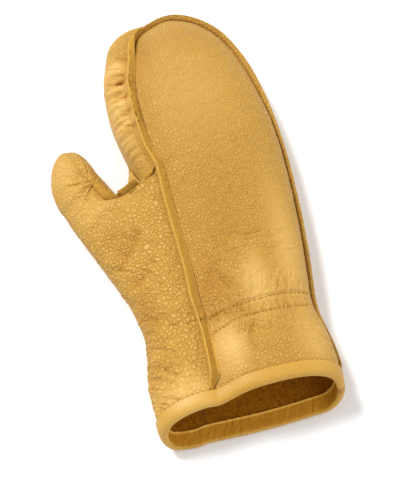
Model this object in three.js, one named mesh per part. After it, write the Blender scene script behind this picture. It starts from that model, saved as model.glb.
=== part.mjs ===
// A leather work mitten for the right hand, lying palm down with the thumb on the -X side.
// Five sewn leather pieces: back panel, palm panel, thumb panel, thumb welt and cuff binding.
// Millimetres. +Y runs from the cuff to the fingertips and +Z is up.

import * as THREE from 'three';

// Overall sizes of the stuffed mitten
const LENGTH = 305;
const WIDTH = 110;
const HEIGHT = 43;

// Leather and sewing
const LEATHER = 1.3;
const GAP = 0.4;
const SEAM_WIDTH = 4.4;
const FIN_CLEARANCE = 1;
const FIN_RISE_LENGTH = 8;
const BORDER_X = -25;
const BORDER_BOW = 4;
const FLOOR_BOW = 1.2;
const FINGER_ROUND = 12;
const EDGE_ROUND = 14;
const THUMB_ROUND = 10;
const TIP_ROUND = 6.5;
const OUTLINE_STEP = 0.8;
const CROWN_POWER = 2.4;

// Strip sewn into the dart of the thumb
const WELT_LEATHER = 1.4;
const WELT_DEPTH = 2.4;
const WELT_HEIGHT = 5;
const WELT_LEAN_WIDTH = 1.6;

// Rolled strip round the mouth of the cuff
const BINDING_LEATHER = 1.2;
const BINDING_WIDTH = 8.5;
const BINDING_INSIDE = 9;
const BINDING_PUFF = 0.7;
const BINDING_OVERHANG = 2;
const RING_SPACING = 1;

// The mouth is cut on a slant: its lower lip and its thumb side stand further out
const SLANT_BY_HEIGHT = 0.4;
const SLANT_BY_WIDTH = 0.07;
const SLANT_REACH = 96;

const SEAM_LENGTH = LENGTH - SEAM_WIDTH - BINDING_OVERHANG;
const SEAM_OFFSET = LEATHER + GAP / 2;
const SLIT_HALF = WELT_LEATHER / 2 + GAP;
const CUFF_LIFT = GAP + BINDING_LEATHER + BINDING_PUFF;
const CUFF_LIFT_REACH = 26;
const QUARTER = 0.5523;
const MITRE_LIMIT = 0.5;
const UP = new THREE.Vector3(0, 0, 1);

// A table is rows of numbers under named columns. Columns called x are shares of WIDTH, y of
// SEAM_LENGTH from the cuff, z of HEIGHT; fin is a share of SEAM_WIDTH, splay of the fin; lean and turn are in degrees.
function table(names, rows) {
  return rows.map((row) => Object.fromEntries(names.map((name, i) => [name, row[i]])));
}

// The seam round the back panel, from the cuff on the little-finger side (row 0) over the
// fingertips (row 18) to the cuff on the thumb side (row 36).
const SEAM = table(['x', 'y', 'z', 'fin', 'lean', 'splay', 'turn'], [
  [0.541, 0.000, 0.42, 0.6, 12, 0.05, 90],
  [0.562, 0.047, 0.43, 0.6, 12, 0.05, 90],
  [0.552, 0.100, 0.44, 0.6, 12, 0.05, 90],
  [0.530, 0.154, 0.45, 0.6, 12, 0.05, 90],
  [0.504, 0.201, 0.46, 0.6, 12, 0.05, 90],
  [0.504, 0.254, 0.46, 0.65, 12, 0.05, 90],
  [0.524, 0.334, 0.46, 0.7, 12, 0.05, 90],
  [0.542, 0.428, 0.46, 0.7, 12, 0.05, 90],
  [0.548, 0.508, 0.46, 0.7, 12, 0.05, 90],
  [0.549, 0.579, 0.46, 0.7, 12, 0.05, 90],
  [0.544, 0.632, 0.46, 0.7, 12, 0.05, 90],
  [0.530, 0.689, 0.46, 0.7, 12, 0.05, 90],
  [0.505, 0.749, 0.46, 0.8, 12, 0.05, 90],
  [0.458, 0.823, 0.46, 1.0, 12, 0.05, 90],
  [0.403, 0.883, 0.45, 1.0, 12, 0.05, 90],
  [0.327, 0.935, 0.45, 1.0, 12, 0.05, 90],
  [0.227, 0.972, 0.44, 1.0, 12, 0.05, 90],
  [0.118, 0.993, 0.43, 1.0, 12, 0.05, 90],
  [0.027, 0.997, 0.43, 1.0, 12, 0.05, 90],
  [-0.068, 0.984, 0.44, 1.0, 16, 0.1, 86],
  [-0.155, 0.960, 0.50, 1.0, 32, 0.25, 76],
  [-0.221, 0.913, 0.63, 1.0, 50, 0.45, 64],
  [-0.262, 0.866, 0.74, 1.0, 60, 0.6, 54],
  [-0.296, 0.813, 0.82, 1.0, 66, 0.7, 48],
  [-0.307, 0.746, 0.87, 1.0, 68, 0.7, 46],
  [-0.296, 0.689, 0.88, 1.0, 68, 0.65, 46],
  [-0.278, 0.632, 0.88, 1.0, 68, 0.5, 46],
  [-0.235, 0.579, 0.87, 0.9, 68, 0.3, 50],
  [-0.227, 0.508, 0.88, 0.9, 68, 0.1, 50],
  [-0.214, 0.428, 0.88, 0.9, 68, 0.1, 50],
  [-0.198, 0.334, 0.88, 0.9, 68, 0.1, 50],
  [-0.194, 0.254, 0.88, 0.9, 68, 0.1, 50],
  [-0.180, 0.201, 0.86, 0.9, 68, 0.1, 50],
  [-0.173, 0.154, 0.85, 0.9, 68, 0.1, 50],
  [-0.171, 0.100, 0.84, 0.9, 68, 0.1, 50],
  [-0.169, 0.047, 0.82, 0.9, 68, 0.1, 50],
  [-0.169, 0.000, 0.81, 0.9, 68, 0.1, 50],
]);
const TIP_ROW = 18;
const LAST_ROW = 36;
const JOIN_ROW = 27;

// The crest of the back, from the cuff (row 0) to the point where the fingertips round off (row 14).
const CREST = table(['x', 'y', 'z'], [
  [0.164, 0.000, 0.965],
  [0.156, 0.047, 0.975],
  [0.148, 0.100, 0.985],
  [0.140, 0.154, 0.985],
  [0.133, 0.201, 0.985],
  [0.124, 0.254, 0.99],
  [0.112, 0.334, 1.0],
  [0.097, 0.428, 1.0],
  [0.084, 0.508, 1.0],
  [0.073, 0.579, 1.0],
  [0.065, 0.632, 0.995],
  [0.056, 0.689, 0.98],
  [0.048, 0.746, 0.965],
  [0.043, 0.785, 0.955],
  [0.040, 0.807, 0.95],
]);

// How far the palm panel bulges out beyond the seam on the finger side, by row of SEAM.
const FINGER_SIDE = table(['row', 'x', 'y', 'z'], [
  [18, 0.000, 0.000, 0.000],
  [19, -0.012, 0.014, -0.02],
  [20, -0.065, 0.028, -0.10],
  [21, -0.108, 0.036, -0.22],
  [22, -0.123, 0.029, -0.34],
  [23, -0.125, 0.014, -0.42],
  [24, -0.116, 0.004, -0.47],
  [25, -0.102, 0.000, -0.48],
  [26, -0.082, 0.000, -0.48],
  [27, -0.092, 0.000, -0.48],
  [28, -0.092, 0.000, -0.48],
]);

// Where the palm panel ends against the thumb panel: row of SEAM by place across the panel,
// 0 at the seam, 0.5 at the side of the hand and 1 on the underside.
const NOTCH = table(['across', 'row'], [
  [0.00, 27.0],
  [0.28, 27.3],
  [0.50, 26.0],
  [1.00, 25.8],
]);

const NOTCH_CORNER = 0.28;
const NOTCH_GAP = 0.035;
const NOTCH_CLEARANCE = 0.6;

// Puckers of the gathered finger side, by row of SEAM; depth is a share of SEAM_WIDTH.
const PUCKERS = table(['row', 'depth', 'wide'], [
  [21.2, 0.14, 0.16],
  [22.6, 0.36, 0.24],
  [23.4, 0.20, 0.16],
  [24.1, 0.30, 0.2],
  [24.8, 0.18, 0.15],
  [25.4, 0.25, 0.18],
  [26.1, 0.16, 0.15],
]);

// The thumb panel from the cuff (row 0) to the tip of the thumb (row 18): outline of its outer
// side, and the edge it is sewn along, which leaves the back seam at row 9 for the dart.
const THUMB_OUTER = table(['x', 'y', 'z', 'sewnX', 'sewnY', 'sewnZ', 'reach', 'rise', 'shoulder'], [
  [-0.466, 0.000, 0.40, 0, 0, 0, 0.5, -0.02, 0.30],
  [-0.494, 0.047, 0.41, 0, 0, 0, 0.5, -0.02, 0.31],
  [-0.506, 0.097, 0.41, 0, 0, 0, 0.5, -0.02, 0.32],
  [-0.494, 0.144, 0.40, 0, 0, 0, 0.5, -0.02, 0.32],
  [-0.478, 0.184, 0.38, 0, 0, 0, 0.5, -0.02, 0.33],
  [-0.471, 0.224, 0.36, 0, 0, 0, 0.5, -0.02, 0.34],
  [-0.513, 0.297, 0.35, 0, 0, 0, 0.5, -0.02, 0.34],
  [-0.575, 0.357, 0.35, 0, 0, 0, 0.5, -0.03, 0.34],
  [-0.644, 0.414, 0.35, 0, 0, 0, 0.5, -0.05, 0.34],
  [-0.707, 0.465, 0.35, -0.245, 0.585, 0.75, 0.5, -0.06, 0.34],
  [-0.758, 0.508, 0.35, -0.318, 0.562, 0.60, 0.35, 0.10, 0.33],
  [-0.796, 0.543, 0.35, -0.395, 0.545, 0.55, 0.30, 0.17, 0.32],
  [-0.823, 0.566, 0.35, -0.464, 0.540, 0.55, 0.30, 0.17, 0.31],
  [-0.840, 0.591, 0.35, -0.536, 0.551, 0.58, 0.30, 0.15, 0.30],
  [-0.848, 0.617, 0.35, -0.595, 0.583, 0.60, 0.30, 0.13, 0.29],
  [-0.836, 0.645, 0.35, -0.641, 0.622, 0.63, 0.35, 0.10, 0.27],
  [-0.809, 0.672, 0.35, -0.677, 0.659, 0.60, 0.35, 0.07, 0.24],
  [-0.769, 0.693, 0.35, -0.700, 0.687, 0.50, 0.35, 0.03, 0.14],
  [-0.714, 0.703, 0.35, -0.714, 0.703, 0.35, 0.00, 0.00, 0.00],
]);
const THUMB_JOIN = 9;
const DART_START = 10;
const DART_END = 14;
const THUMB_TIP = 18;

// The inner outline of the thumb from its tip round the crotch to the side of the hand, on the
// rows of THUMB_OUTER counted back from the tip.
const THUMB_INNER = table(['x', 'y', 'z'], [
  [-0.714, 0.703, 0.35],
  [-0.660, 0.695, 0.35],
  [-0.621, 0.679, 0.35],
  [-0.586, 0.655, 0.35],
  [-0.545, 0.624, 0.35],
  [-0.495, 0.590, 0.35],
  [-0.457, 0.570, 0.36],
  [-0.420, 0.580, 0.37],
  [-0.390, 0.603, 0.38],
]);

// Hollows in the upper side: centre and reach as shares of WIDTH and SEAM_LENGTH, depth of HEIGHT.
const HOLLOWS = table(['x', 'y', 'reachX', 'reachY', 'depth'], [
  [-0.090, 0.040, 0.09, 0.12, 0.08],
  [-0.090, 0.200, 0.10, 0.07, 0.05],
  [0.180, 0.213, 0.36, 0.030, 0.045],
  [0.140, 0.150, 0.025, 0.035, 0.035],
  [-0.520, 0.420, 0.10, 0.04, 0.05],
]);

// Value of a named column at a fractional row, on a smooth curve through the rows.
function column(rows, name, row) {
  const last = rows.length - 1;
  const i = THREE.MathUtils.clamp(Math.floor(row), 0, last - 1);
  const t = row - i;
  const b = rows[i][name];
  const c = rows[i + 1][name];
  const a = i > 0 ? rows[i - 1][name] : 2 * b - c;
  const d = i + 2 <= last ? rows[i + 2][name] : 2 * c - b;
  return b + 0.5 * t * (c - a + t * (2 * a - 5 * b + 4 * c - d + t * (3 * (b - c) + d - a)));
}

// Point from three columns that hold shares of the width, length and height.
function place(rows, row, names = ['x', 'y', 'z']) {
  const [x, y, z] = names.map((name) => column(rows, name, row));
  return new THREE.Vector3(x * WIDTH, y * SEAM_LENGTH, z * HEIGHT);
}

function between(a, b, t) {
  return a.clone().lerp(b, t);
}

function bezier(a, b, c, d, t) {
  return new THREE.CubicBezierCurve3(a, b, c, d).getPoint(t);
}

function steps(from, to, count) {
  return Array.from({ length: count + 1 }, (_, i) => from + (to - from) * i / count);
}

// Direction in plan at right angles to a curve of places, on its left.
function leftOf(curve, at, from, to, step = 0.05) {
  const ahead = curve(Math.min(at + step, to));
  const behind = curve(Math.max(at - step, from));
  return new THREE.Vector3(behind.y - ahead.y, ahead.x - behind.x, 0).normalize();
}

// The seam of the back panel: its place, the way its fin stands and the way across it,
// which points to the back panel.
function seamFrame(row) {
  const seam = (r) => place(SEAM, r);
  const out = leftOf(seam, row, 0, LAST_ROW).negate();
  const lean = THREE.MathUtils.degToRad(column(SEAM, 'lean', row));
  const fin = out.clone().multiplyScalar(Math.cos(lean)).addScaledVector(UP, Math.sin(lean));
  const across = out.clone().multiplyScalar(-Math.sin(lean)).addScaledVector(UP, Math.cos(lean));
  return { point: seam(row), fin, across };
}

// The fin ends short of the cuff binding, which covers the last of the seam.
function finHeight(row) {
  const fromCuff = place(SEAM, row).y - BINDING_WIDTH - FIN_CLEARANCE;
  return SEAM_WIDTH * column(SEAM, 'fin', row) * THREE.MathUtils.smoothstep(fromCuff, 0, FIN_RISE_LENGTH);
}

// One panel's edge in the seam: side is 1 for the back panel and -1 for the panel below it.
function seamEdge(row, side, share) {
  const { point, fin, across } = seamFrame(row);
  const splay = finHeight(row) * column(SEAM, 'splay', row) * share * share;
  return point.addScaledVector(across, side * (SEAM_OFFSET + splay))
    .addScaledVector(fin, finHeight(row) * share);
}

// Crest row that belongs to a row of the seam. Those round the fingertips share the last one.
function crestRow(row) {
  return Math.min(row, LAST_ROW - row, CREST.length - 1);
}

// The back panel between its crest (share 0) and its seam (share 1).
function backPoint(row, share) {
  const crest = place(CREST, crestRow(row));
  const edge = seamEdge(row, 1, 0);
  const turn = THREE.MathUtils.degToRad(column(SEAM, 'turn', row));
  const power = 2 / CROWN_POWER;
  const outward = (Math.sin(turn * share) / Math.sin(turn)) ** power;
  const fall = Math.max(Math.cos(turn), 0) ** power;
  const middle = (edge.z - crest.z * fall) / (1 - fall);
  const point = between(crest, edge, outward);
  point.z = middle + (crest.z - middle) * Math.max(Math.cos(turn * share), 0) ** power;
  return point;
}

// The widest line of the palm panel.
function palmSide(row) {
  const side = seamEdge(row, -1, 0);
  const inTable = THREE.MathUtils.clamp(row - TIP_ROW, 0, FINGER_SIDE.length - 1);
  return side.add(place(FINGER_SIDE, inTable));
}

function palmRound(row) {
  const onFingers = THREE.MathUtils.smoothstep(row, TIP_ROW - 2, TIP_ROW + 4);
  return THREE.MathUtils.lerp(EDGE_ROUND, FINGER_ROUND, onFingers);
}

// Quarter round from a widest point down to where the leather meets the table.
function quarterRound(side, foot, share) {
  const down = side.clone().setZ(side.z * (1 - QUARTER));
  const inward = between(foot, side.clone().setZ(0), 1 - QUARTER);
  return bezier(side, down, inward, foot, share);
}

function palmFoot(row) {
  const inward = leftOf(palmSide, row, 0, LAST_ROW - 8);
  return palmSide(row).setZ(0).addScaledVector(inward, palmRound(row));
}

// Depth of the gathers at a row of the seam.
function puckerDepth(row) {
  return PUCKERS.reduce((sum, fold) => {
    const away = (row - fold.row) / fold.wide;
    return sum + fold.depth * SEAM_WIDTH * Math.exp(-away * away);
  }, 0);
}

// The palm panel from its seam (0) over its widest line (0.5) to the table (1).
function palmPoint(row, across) {
  const side = palmSide(row);
  if (across >= 0.5) {
    return quarterRound(side, palmFoot(row), across * 2 - 1);
  }
  const seam = seamEdge(row, -1, 0);
  const flat = side.clone().sub(seam).setZ(0);
  const first = seam.clone().addScaledVector(flat, 0.55);
  first.z -= 0.1 * (seam.z - side.z);
  const second = side.clone().setZ(THREE.MathUtils.lerp(side.z, seam.z, 0.6));
  const point = bezier(seam, first, second, side, across * 2);
  const bell = THREE.MathUtils.smoothstep(across, 0, 0.12) * (1 - THREE.MathUtils.smoothstep(across, 0.2, 0.5));
  const inward = leftOf(palmSide, row, 0, LAST_ROW - 8);
  return point.addScaledVector(inward, puckerDepth(row) * bell * 0.7)
    .addScaledVector(UP, -puckerDepth(row) * bell * 0.7);
}

// Row of the seam at which the palm panel ends, by place across it.
function notchRow(across) {
  const next = Math.max(1, NOTCH.findIndex((row) => row.across >= across));
  const [a, b] = [NOTCH[next - 1], NOTCH[next]];
  return THREE.MathUtils.mapLinear(across, a.across, b.across, a.row, b.row);
}

// The thumb panel's side of the notch, which swings clear of the palm panel on the underside.
function notchEdge(across) {
  const clear = NOTCH_CLEARANCE * THREE.MathUtils.smoothstep(across, 0.5, 1);
  return palmPoint(notchRow(across) + NOTCH_GAP, across).add(new THREE.Vector3(-clear, 0, 0));
}

// The edge between palm and thumb panel on the underside, from the cuff to the notch.
function borderPoint(y) {
  const top = palmPoint(notchRow(1), 1);
  const bow = BORDER_BOW * Math.sin(Math.PI * y / top.y);
  return new THREE.Vector3(THREE.MathUtils.lerp(BORDER_X, top.x, y / top.y) + bow, y, 0);
}

function thumbSide(row) {
  return place(THUMB_OUTER, row);
}

function thumbInnerSide(row) {
  return place(THUMB_INNER, THUMB_TIP - row);
}

// Outline of the thumb: its outer side up to the tip, and its inner side back from there.
function thumbOutline(at) {
  return at <= THUMB_TIP ? thumbSide(at) : thumbInnerSide(2 * THUMB_TIP - at);
}

// Where a side of the thumb panel meets the table, by its place along the outline.
function outlineFoot(at, round) {
  const inward = leftOf(thumbOutline, at, 0, 2 * THUMB_TIP - DART_START, OUTLINE_STEP).negate();
  const toTip = 1 - THREE.MathUtils.smoothstep(Math.abs(at - THUMB_TIP), 1, 4);
  return thumbOutline(at).setZ(0).addScaledVector(inward, THREE.MathUtils.lerp(round, TIP_ROUND, toTip));
}

function thumbFoot(row) {
  const onHand = THREE.MathUtils.smoothstep(row, THUMB_JOIN - 3, DART_START);
  return outlineFoot(row, THREE.MathUtils.lerp(FINGER_ROUND, THUMB_ROUND, onHand));
}

function thumbInnerFoot(row) {
  return outlineFoot(2 * THUMB_TIP - row, THUMB_ROUND);
}

// Middle line of the dart, which starts at the corner of the notch.
function dart(row) {
  const names = ['sewnX', 'sewnY', 'sewnZ'];
  const shift = notchEdge(NOTCH_CORNER).sub(place(THUMB_OUTER, DART_START, names));
  const held = 1 - THREE.MathUtils.smoothstep(row, DART_START, DART_START + 2);
  return place(THUMB_OUTER, row, names).addScaledVector(shift, held);
}

// Middle of the dart, and the way across it towards the inner side of the thumb.
function dartFrame(row) {
  const point = dart(row);
  const along = dart(Math.min(row + 0.05, DART_END + 0.5))
    .sub(dart(Math.max(row - 0.05, DART_START))).normalize();
  const inner = between(point, thumbInnerSide(row), 1).sub(point);
  const across = inner.addScaledVector(along, -inner.dot(along)).normalize();
  return { point, across };
}

// Half width of the dart: open where the welt stands, closed beyond its end.
function dartHalf(row) {
  return SLIT_HALF * (1 - THREE.MathUtils.smoothstep(row, DART_END, DART_END + 0.3));
}

// Row of the seam that a row of the thumb panel is sewn to.
function thumbSeamRow(row) {
  return Math.max(LAST_ROW - row, JOIN_ROW + NOTCH_GAP);
}

// The sewn edge of the thumb panel: along the back seam, down the notch, along the dart.
function thumbSewn(row) {
  if (row <= THUMB_JOIN) {
    return seamEdge(thumbSeamRow(row), -1, 0);
  }
  if (row <= DART_START) {
    const share = row - THUMB_JOIN;
    const { across } = dartFrame(DART_START);
    return notchEdge(NOTCH_CORNER * share).addScaledVector(across, -dartHalf(DART_START) * share);
  }
  const { point, across } = dartFrame(row);
  return point.addScaledVector(across, -dartHalf(row));
}

// The upper face of the thumb panel from its sewn edge (0) to its outer side (1).
function thumbTop(row, share) {
  const sewn = thumbSewn(row);
  const side = thumbSide(row);
  const flat = side.clone().sub(sewn).setZ(0);
  const first = sewn.clone().addScaledVector(flat, column(THUMB_OUTER, 'reach', row));
  first.z += column(THUMB_OUTER, 'rise', row) * HEIGHT;
  const second = side.clone();
  second.z += column(THUMB_OUTER, 'shoulder', row) * HEIGHT;
  return bezier(sewn, first, second, side, share);
}

// The inner face of the thumb from the dart (0) over the crotch line (0.5) to the table (1).
function thumbInner(row, across) {
  const side = thumbInnerSide(row);
  if (across >= 0.5) {
    return quarterRound(side, thumbInnerFoot(row), across * 2 - 1);
  }
  const { point, across: inward } = dartFrame(row);
  const lip = point.addScaledVector(inward, dartHalf(row));
  return innerRound(lip, side, across * 2);
}

// The web of the thumb panel between the dart (0), the side of the hand (1) and the
// underside (2), from the notch (across 0) to the table (1).
function webPoint(along, across) {
  const foot = between(thumbInnerFoot(DART_START), notchEdge(1), along / 2);
  foot.x -= FLOOR_BOW * Math.sin(Math.PI * along / 2);
  if (along > 1) {
    const lip = notchEdge(along / 2);
    return across < 0.5 ? lip : quarterRound(lip, foot, across * 2 - 1);
  }
  const side = between(thumbInnerSide(DART_START), notchEdge(0.5), along);
  if (across >= 0.5) {
    return quarterRound(side, foot, across * 2 - 1);
  }
  const { across: inward } = dartFrame(DART_START);
  const lip = notchEdge(THREE.MathUtils.lerp(NOTCH_CORNER, 0.5, along))
    .addScaledVector(inward, dartHalf(DART_START) * (1 - along));
  return innerRound(lip, side, across * 2);
}

// From a lip over to a widest point, which the leather reaches upright.
function innerRound(lip, side, share) {
  const first = between(lip, side.clone().setZ(lip.z), 0.5);
  const second = between(side, side.clone().setZ(lip.z), 0.5);
  return bezier(lip, first, second, side, share);
}

// Last shaping of every point: the slant of the mouth, the lift that lets the binding lie
// under the cuff, and the hollows of the upper side.
function settle(point) {
  const { x, y, z } = point;
  const atCuff = 1 - THREE.MathUtils.smoothstep(y, 0, SLANT_REACH);
  const lift = CUFF_LIFT * (1 - THREE.MathUtils.smoothstep(y, BINDING_WIDTH, CUFF_LIFT_REACH));
  const upper = THREE.MathUtils.smoothstep(z, 0.45 * HEIGHT, 0.8 * HEIGHT);
  const sink = HOLLOWS.reduce((sum, hollow) => {
    const dx = (x / WIDTH - hollow.x) / hollow.reachX;
    const dy = (y / SEAM_LENGTH - hollow.y) / hollow.reachY;
    return sum + hollow.depth * Math.exp(-dx * dx - dy * dy);
  }, 0);
  point.y += atCuff * (SLANT_BY_WIDTH * x + SLANT_BY_HEIGHT * z);
  point.z += lift * (1 - z / HEIGHT) - sink * HEIGHT * upper;
  return point;
}

// Faces of a sheet of leather, gathered from grids and flat polygons that share their edges.
class Sheet {
  constructor() {
    this.points = [];
    this.faces = [];
    this.known = new Map();
  }

  add(point) {
    const key = [point.x, point.y, point.z].map((v) => Math.round(v * 2000)).join();
    if (!this.known.has(key)) {
      this.known.set(key, this.points.length);
      this.points.push(point);
    }
    return this.known.get(key);
  }

  face(a, b, c) {
    if (a !== b && b !== c && c !== a) {
      this.faces.push([a, b, c]);
    }
  }

  // Rows of points. Seen from outside, each row runs to the right and the next one lies above.
  grid(rows) {
    const at = rows.map((row) => row.map((point) => this.add(settle(point.clone()))));
    for (let i = 0; i + 1 < at.length; i += 1) {
      for (let j = 0; j + 1 < at[i].length; j += 1) {
        const [a, b, c, d] = [at[i][j], at[i][j + 1], at[i + 1][j + 1], at[i + 1][j]];
        this.face(a, b, c);
        this.face(a, c, d);
      }
    }
  }

  // Flat leather on the table, inside a loop of points; its outer face looks down.
  floor(loop) {
    const at = loop.map((point) => this.add(settle(point.clone())));
    const kept = at.filter((index, i) => index !== at[(i + 1) % at.length]);
    const contour = kept.map((index) => new THREE.Vector2(this.points[index].x, this.points[index].y));
    for (const corners of THREE.ShapeUtils.triangulateShape(contour.slice(), [])) {
      const down = THREE.ShapeUtils.isClockWise(corners.map((i) => contour[i]));
      const [a, b, c] = corners.map((i) => kept[i]);
      this.face(a, down ? b : c, down ? c : b);
    }
  }

  // Closed solid: the sheet as its outer face, and its thickness laid inwards.
  thicken(thickness) {
    const count = this.points.length;
    const normals = this.points.map(() => new THREE.Vector3());
    const weights = new Array(count).fill(0);
    for (const face of this.faces) {
      const corners = face.map((i) => this.points[i]);
      const normal = new THREE.Triangle(...corners).getNormal(new THREE.Vector3());
      face.forEach((index, k) => {
        const ahead = corners[(k + 1) % 3].clone().sub(corners[k]);
        const behind = corners[(k + 2) % 3].clone().sub(corners[k]);
        const angle = ahead.angleTo(behind);
        normals[index].addScaledVector(normal, angle);
        weights[index] += angle;
      });
    }
    const inner = this.points.map((point, i) => {
      const normal = normals[i].divideScalar(weights[i]);
      return point.clone().addScaledVector(normal, -thickness / Math.max(normal.lengthSq(), MITRE_LIMIT));
    });
    const edges = new Set(this.faces.flatMap(([a, b, c]) => [`${a},${b}`, `${b},${c}`, `${c},${a}`]));
    const index = [];
    for (const [a, b, c] of this.faces) {
      index.push(a, b, c, a + count, c + count, b + count);
      for (const [p, q] of [[a, b], [b, c], [c, a]]) {
        if (!edges.has(`${q},${p}`)) {
          index.push(q, p, p + count, q, p + count, q + count);
        }
      }
    }
    const geometry = new THREE.BufferGeometry();
    geometry.setAttribute('position', new THREE.Float32BufferAttribute(
      [...this.points, ...inner].flatMap((point) => point.toArray()), 3));
    geometry.setIndex(index);
    geometry.computeVertexNormals();
    return geometry;
  }
}

// Rows at which the hand is sampled, closer at the cuff and round the fingertips.
function handRows() {
  const cuff = [0, 0.3, 0.65, 1, 1.4, 1.8, 2.4];
  return [...cuff, ...steps(3, TIP_ROW, 36)];
}

const HAND_ROWS = handRows();
const CUFF_ROWS = HAND_ROWS.filter((row) => row <= 1.8);
const BACK_SHARES = steps(0, 1, 7);
const TOP_SHARES = steps(0, 1, 8);
const ROUND_SHARES = steps(0, 1, 4);

function backPanel() {
  const sheet = new Sheet();
  sheet.grid(HAND_ROWS.map((row) => {
    const thumbHalf = BACK_SHARES.map((share) => backPoint(LAST_ROW - row, share)).reverse();
    const fingerHalf = BACK_SHARES.slice(1).map((share) => backPoint(row, share));
    return [seamEdge(LAST_ROW - row, 1, 1), ...thumbHalf, ...fingerHalf, seamEdge(row, 1, 1)];
  }));
  return sheet.thicken(LEATHER);
}

// Border point in line with the feet of both panels at a row; side is 1 for the palm panel's edge
// and -1 for the thumb panel's.
function borderAt(row, side) {
  const [palm, thumb] = [palmPoint(row, 1), thumbFoot(row)];
  const share = (palm.x - BORDER_X) / (palm.x - thumb.x);
  return borderPoint(between(palm, thumb, share).y).add(new THREE.Vector3(side * GAP / 2, 0, 0));
}

// Points from one place of the underside to another, bowed a little towards the mouth.
function floorStrip(a, b) {
  return steps(0, 1, 6).map((share) => {
    const point = between(a, b, share);
    point.y -= FLOOR_BOW * Math.sin(Math.PI * share);
    return point;
  });
}

function palmPanel() {
  const sheet = new Sheet();
  const across = steps(0, 1, 8);
  const bend = 22;
  const early = [...HAND_ROWS, ...HAND_ROWS.slice(0, -1).reverse().map((row) => LAST_ROW - row)]
    .filter((row) => row <= bend);
  const late = steps(0, 1, 24);
  const slide = (share, a) => THREE.MathUtils.lerp(bend, notchRow(a), share);
  const ribs = (at) => [seamEdge(at(0), -1, 1), ...across.map((a) => palmPoint(at(a), a))];
  const rows = [...early.map((row) => ribs(() => row)), ...late.slice(1).map((s) => ribs((a) => slide(s, a)))];
  sheet.grid(rows);
  const feet = rows.map((row) => row.at(-1));
  const cuff = CUFF_ROWS.map((row) => floorStrip(palmPoint(row, 1), borderAt(row, 1)));
  sheet.grid(cuff);
  const border = HAND_ROWS.filter((row) => row > CUFF_ROWS.at(-1) && row < THUMB_JOIN)
    .map((row) => borderAt(row, 1));
  const free = feet.slice(CUFF_ROWS.length);
  sheet.floor([...cuff.at(-1), ...border, ...free.reverse()]);
  return sheet.thicken(LEATHER);
}

function thumbPanel() {
  const sheet = new Sheet();
  const handRows = HAND_ROWS.filter((row) => row <= THUMB_JOIN);
  const thumbRows = steps(THUMB_JOIN, THUMB_TIP, 27).slice(1);
  const rows = [...handRows, ...thumbRows];
  const outer = rows.map((row) => [
    ...ROUND_SHARES.slice(1).map((share) => quarterRound(thumbSide(row), thumbFoot(row), share)).reverse(),
    ...TOP_SHARES.map((share) => thumbTop(row, share)).reverse(),
    row <= THUMB_JOIN ? seamEdge(thumbSeamRow(row), -1, 1) : thumbSewn(row),
  ]);
  sheet.grid(outer);
  const innerRows = thumbRows.filter((row) => row >= DART_START).reverse();
  const innerAcross = steps(0, 1, 6);
  const inner = [
    ...innerRows.map((row) => innerAcross.map((across) => thumbInner(row, across))),
    ...steps(0, 2, 6).slice(1).map((along) => innerAcross.map((across) => webPoint(along, across))),
  ];
  sheet.grid(inner.toReversed());
  const cuff = CUFF_ROWS.map((row) => floorStrip(borderAt(row, -1), thumbFoot(row)));
  sheet.grid(cuff);
  const border = HAND_ROWS.filter((row) => row > CUFF_ROWS.at(-1) && row < THUMB_JOIN)
    .map((row) => borderAt(row, -1));
  const feet = outer.slice(CUFF_ROWS.length).map((row) => row[0]);
  const innerFeet = inner.map((row) => row.at(-1));
  sheet.floor([...cuff.at(-1), ...feet, ...innerFeet, ...border.reverse()]);
  return sheet.thicken(LEATHER);
}

// Strip of leather that stands in the dart and leans over the crotch of the thumb.
function thumbWelt() {
  const sheet = new Sheet();
  const heights = [-WELT_DEPTH, 0, WELT_HEIGHT * 0.4, WELT_HEIGHT * 0.75, WELT_HEIGHT];
  const rows = steps(DART_START + 0.12, DART_END - 0.08, 18).map((row) => {
    const { point } = dartFrame(row);
    const along = dart(row + 0.04).sub(dart(row - 0.04));
    const over = thumbInner(row, 0.1).sub(thumbTop(row, 0.06));
    const up = along.cross(over).normalize();
    up.multiplyScalar(Math.sign(up.z));
    over.addScaledVector(up, -over.dot(up)).normalize();
    return heights.map((height) => {
      const lean = WELT_LEAN_WIDTH * (Math.max(height, 0) / WELT_HEIGHT) ** 2;
      return point.clone().addScaledVector(up, height).addScaledVector(over, lean - WELT_LEATHER / 2);
    });
  });
  sheet.grid(rows);
  return sheet.thicken(WELT_LEATHER);
}

// The closed outline of the cuff at a distance from its cut edge, through the panels' own points.
function cuffRing(fromEdge) {
  const row = fromEdge / place(CREST, 1).y;
  const border = borderAt(row, 0);
  return [
    ...BACK_SHARES.map((share) => backPoint(row, share)),
    ...ROUND_SHARES.map((share) => palmPoint(row, 0.5 + share / 2)),
    ...floorStrip(palmPoint(row, 1), border).slice(1),
    ...floorStrip(border, thumbFoot(row)).slice(1, -1),
    ...ROUND_SHARES.map((share) => quarterRound(thumbSide(row), thumbFoot(row), 1 - share)),
    ...TOP_SHARES.slice(1).map((share) => thumbTop(row, 1 - share)),
    ...BACK_SHARES.slice(1).map((share) => backPoint(LAST_ROW - row, 1 - share)).slice(0, -1),
  ].map(settle);
}

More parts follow.
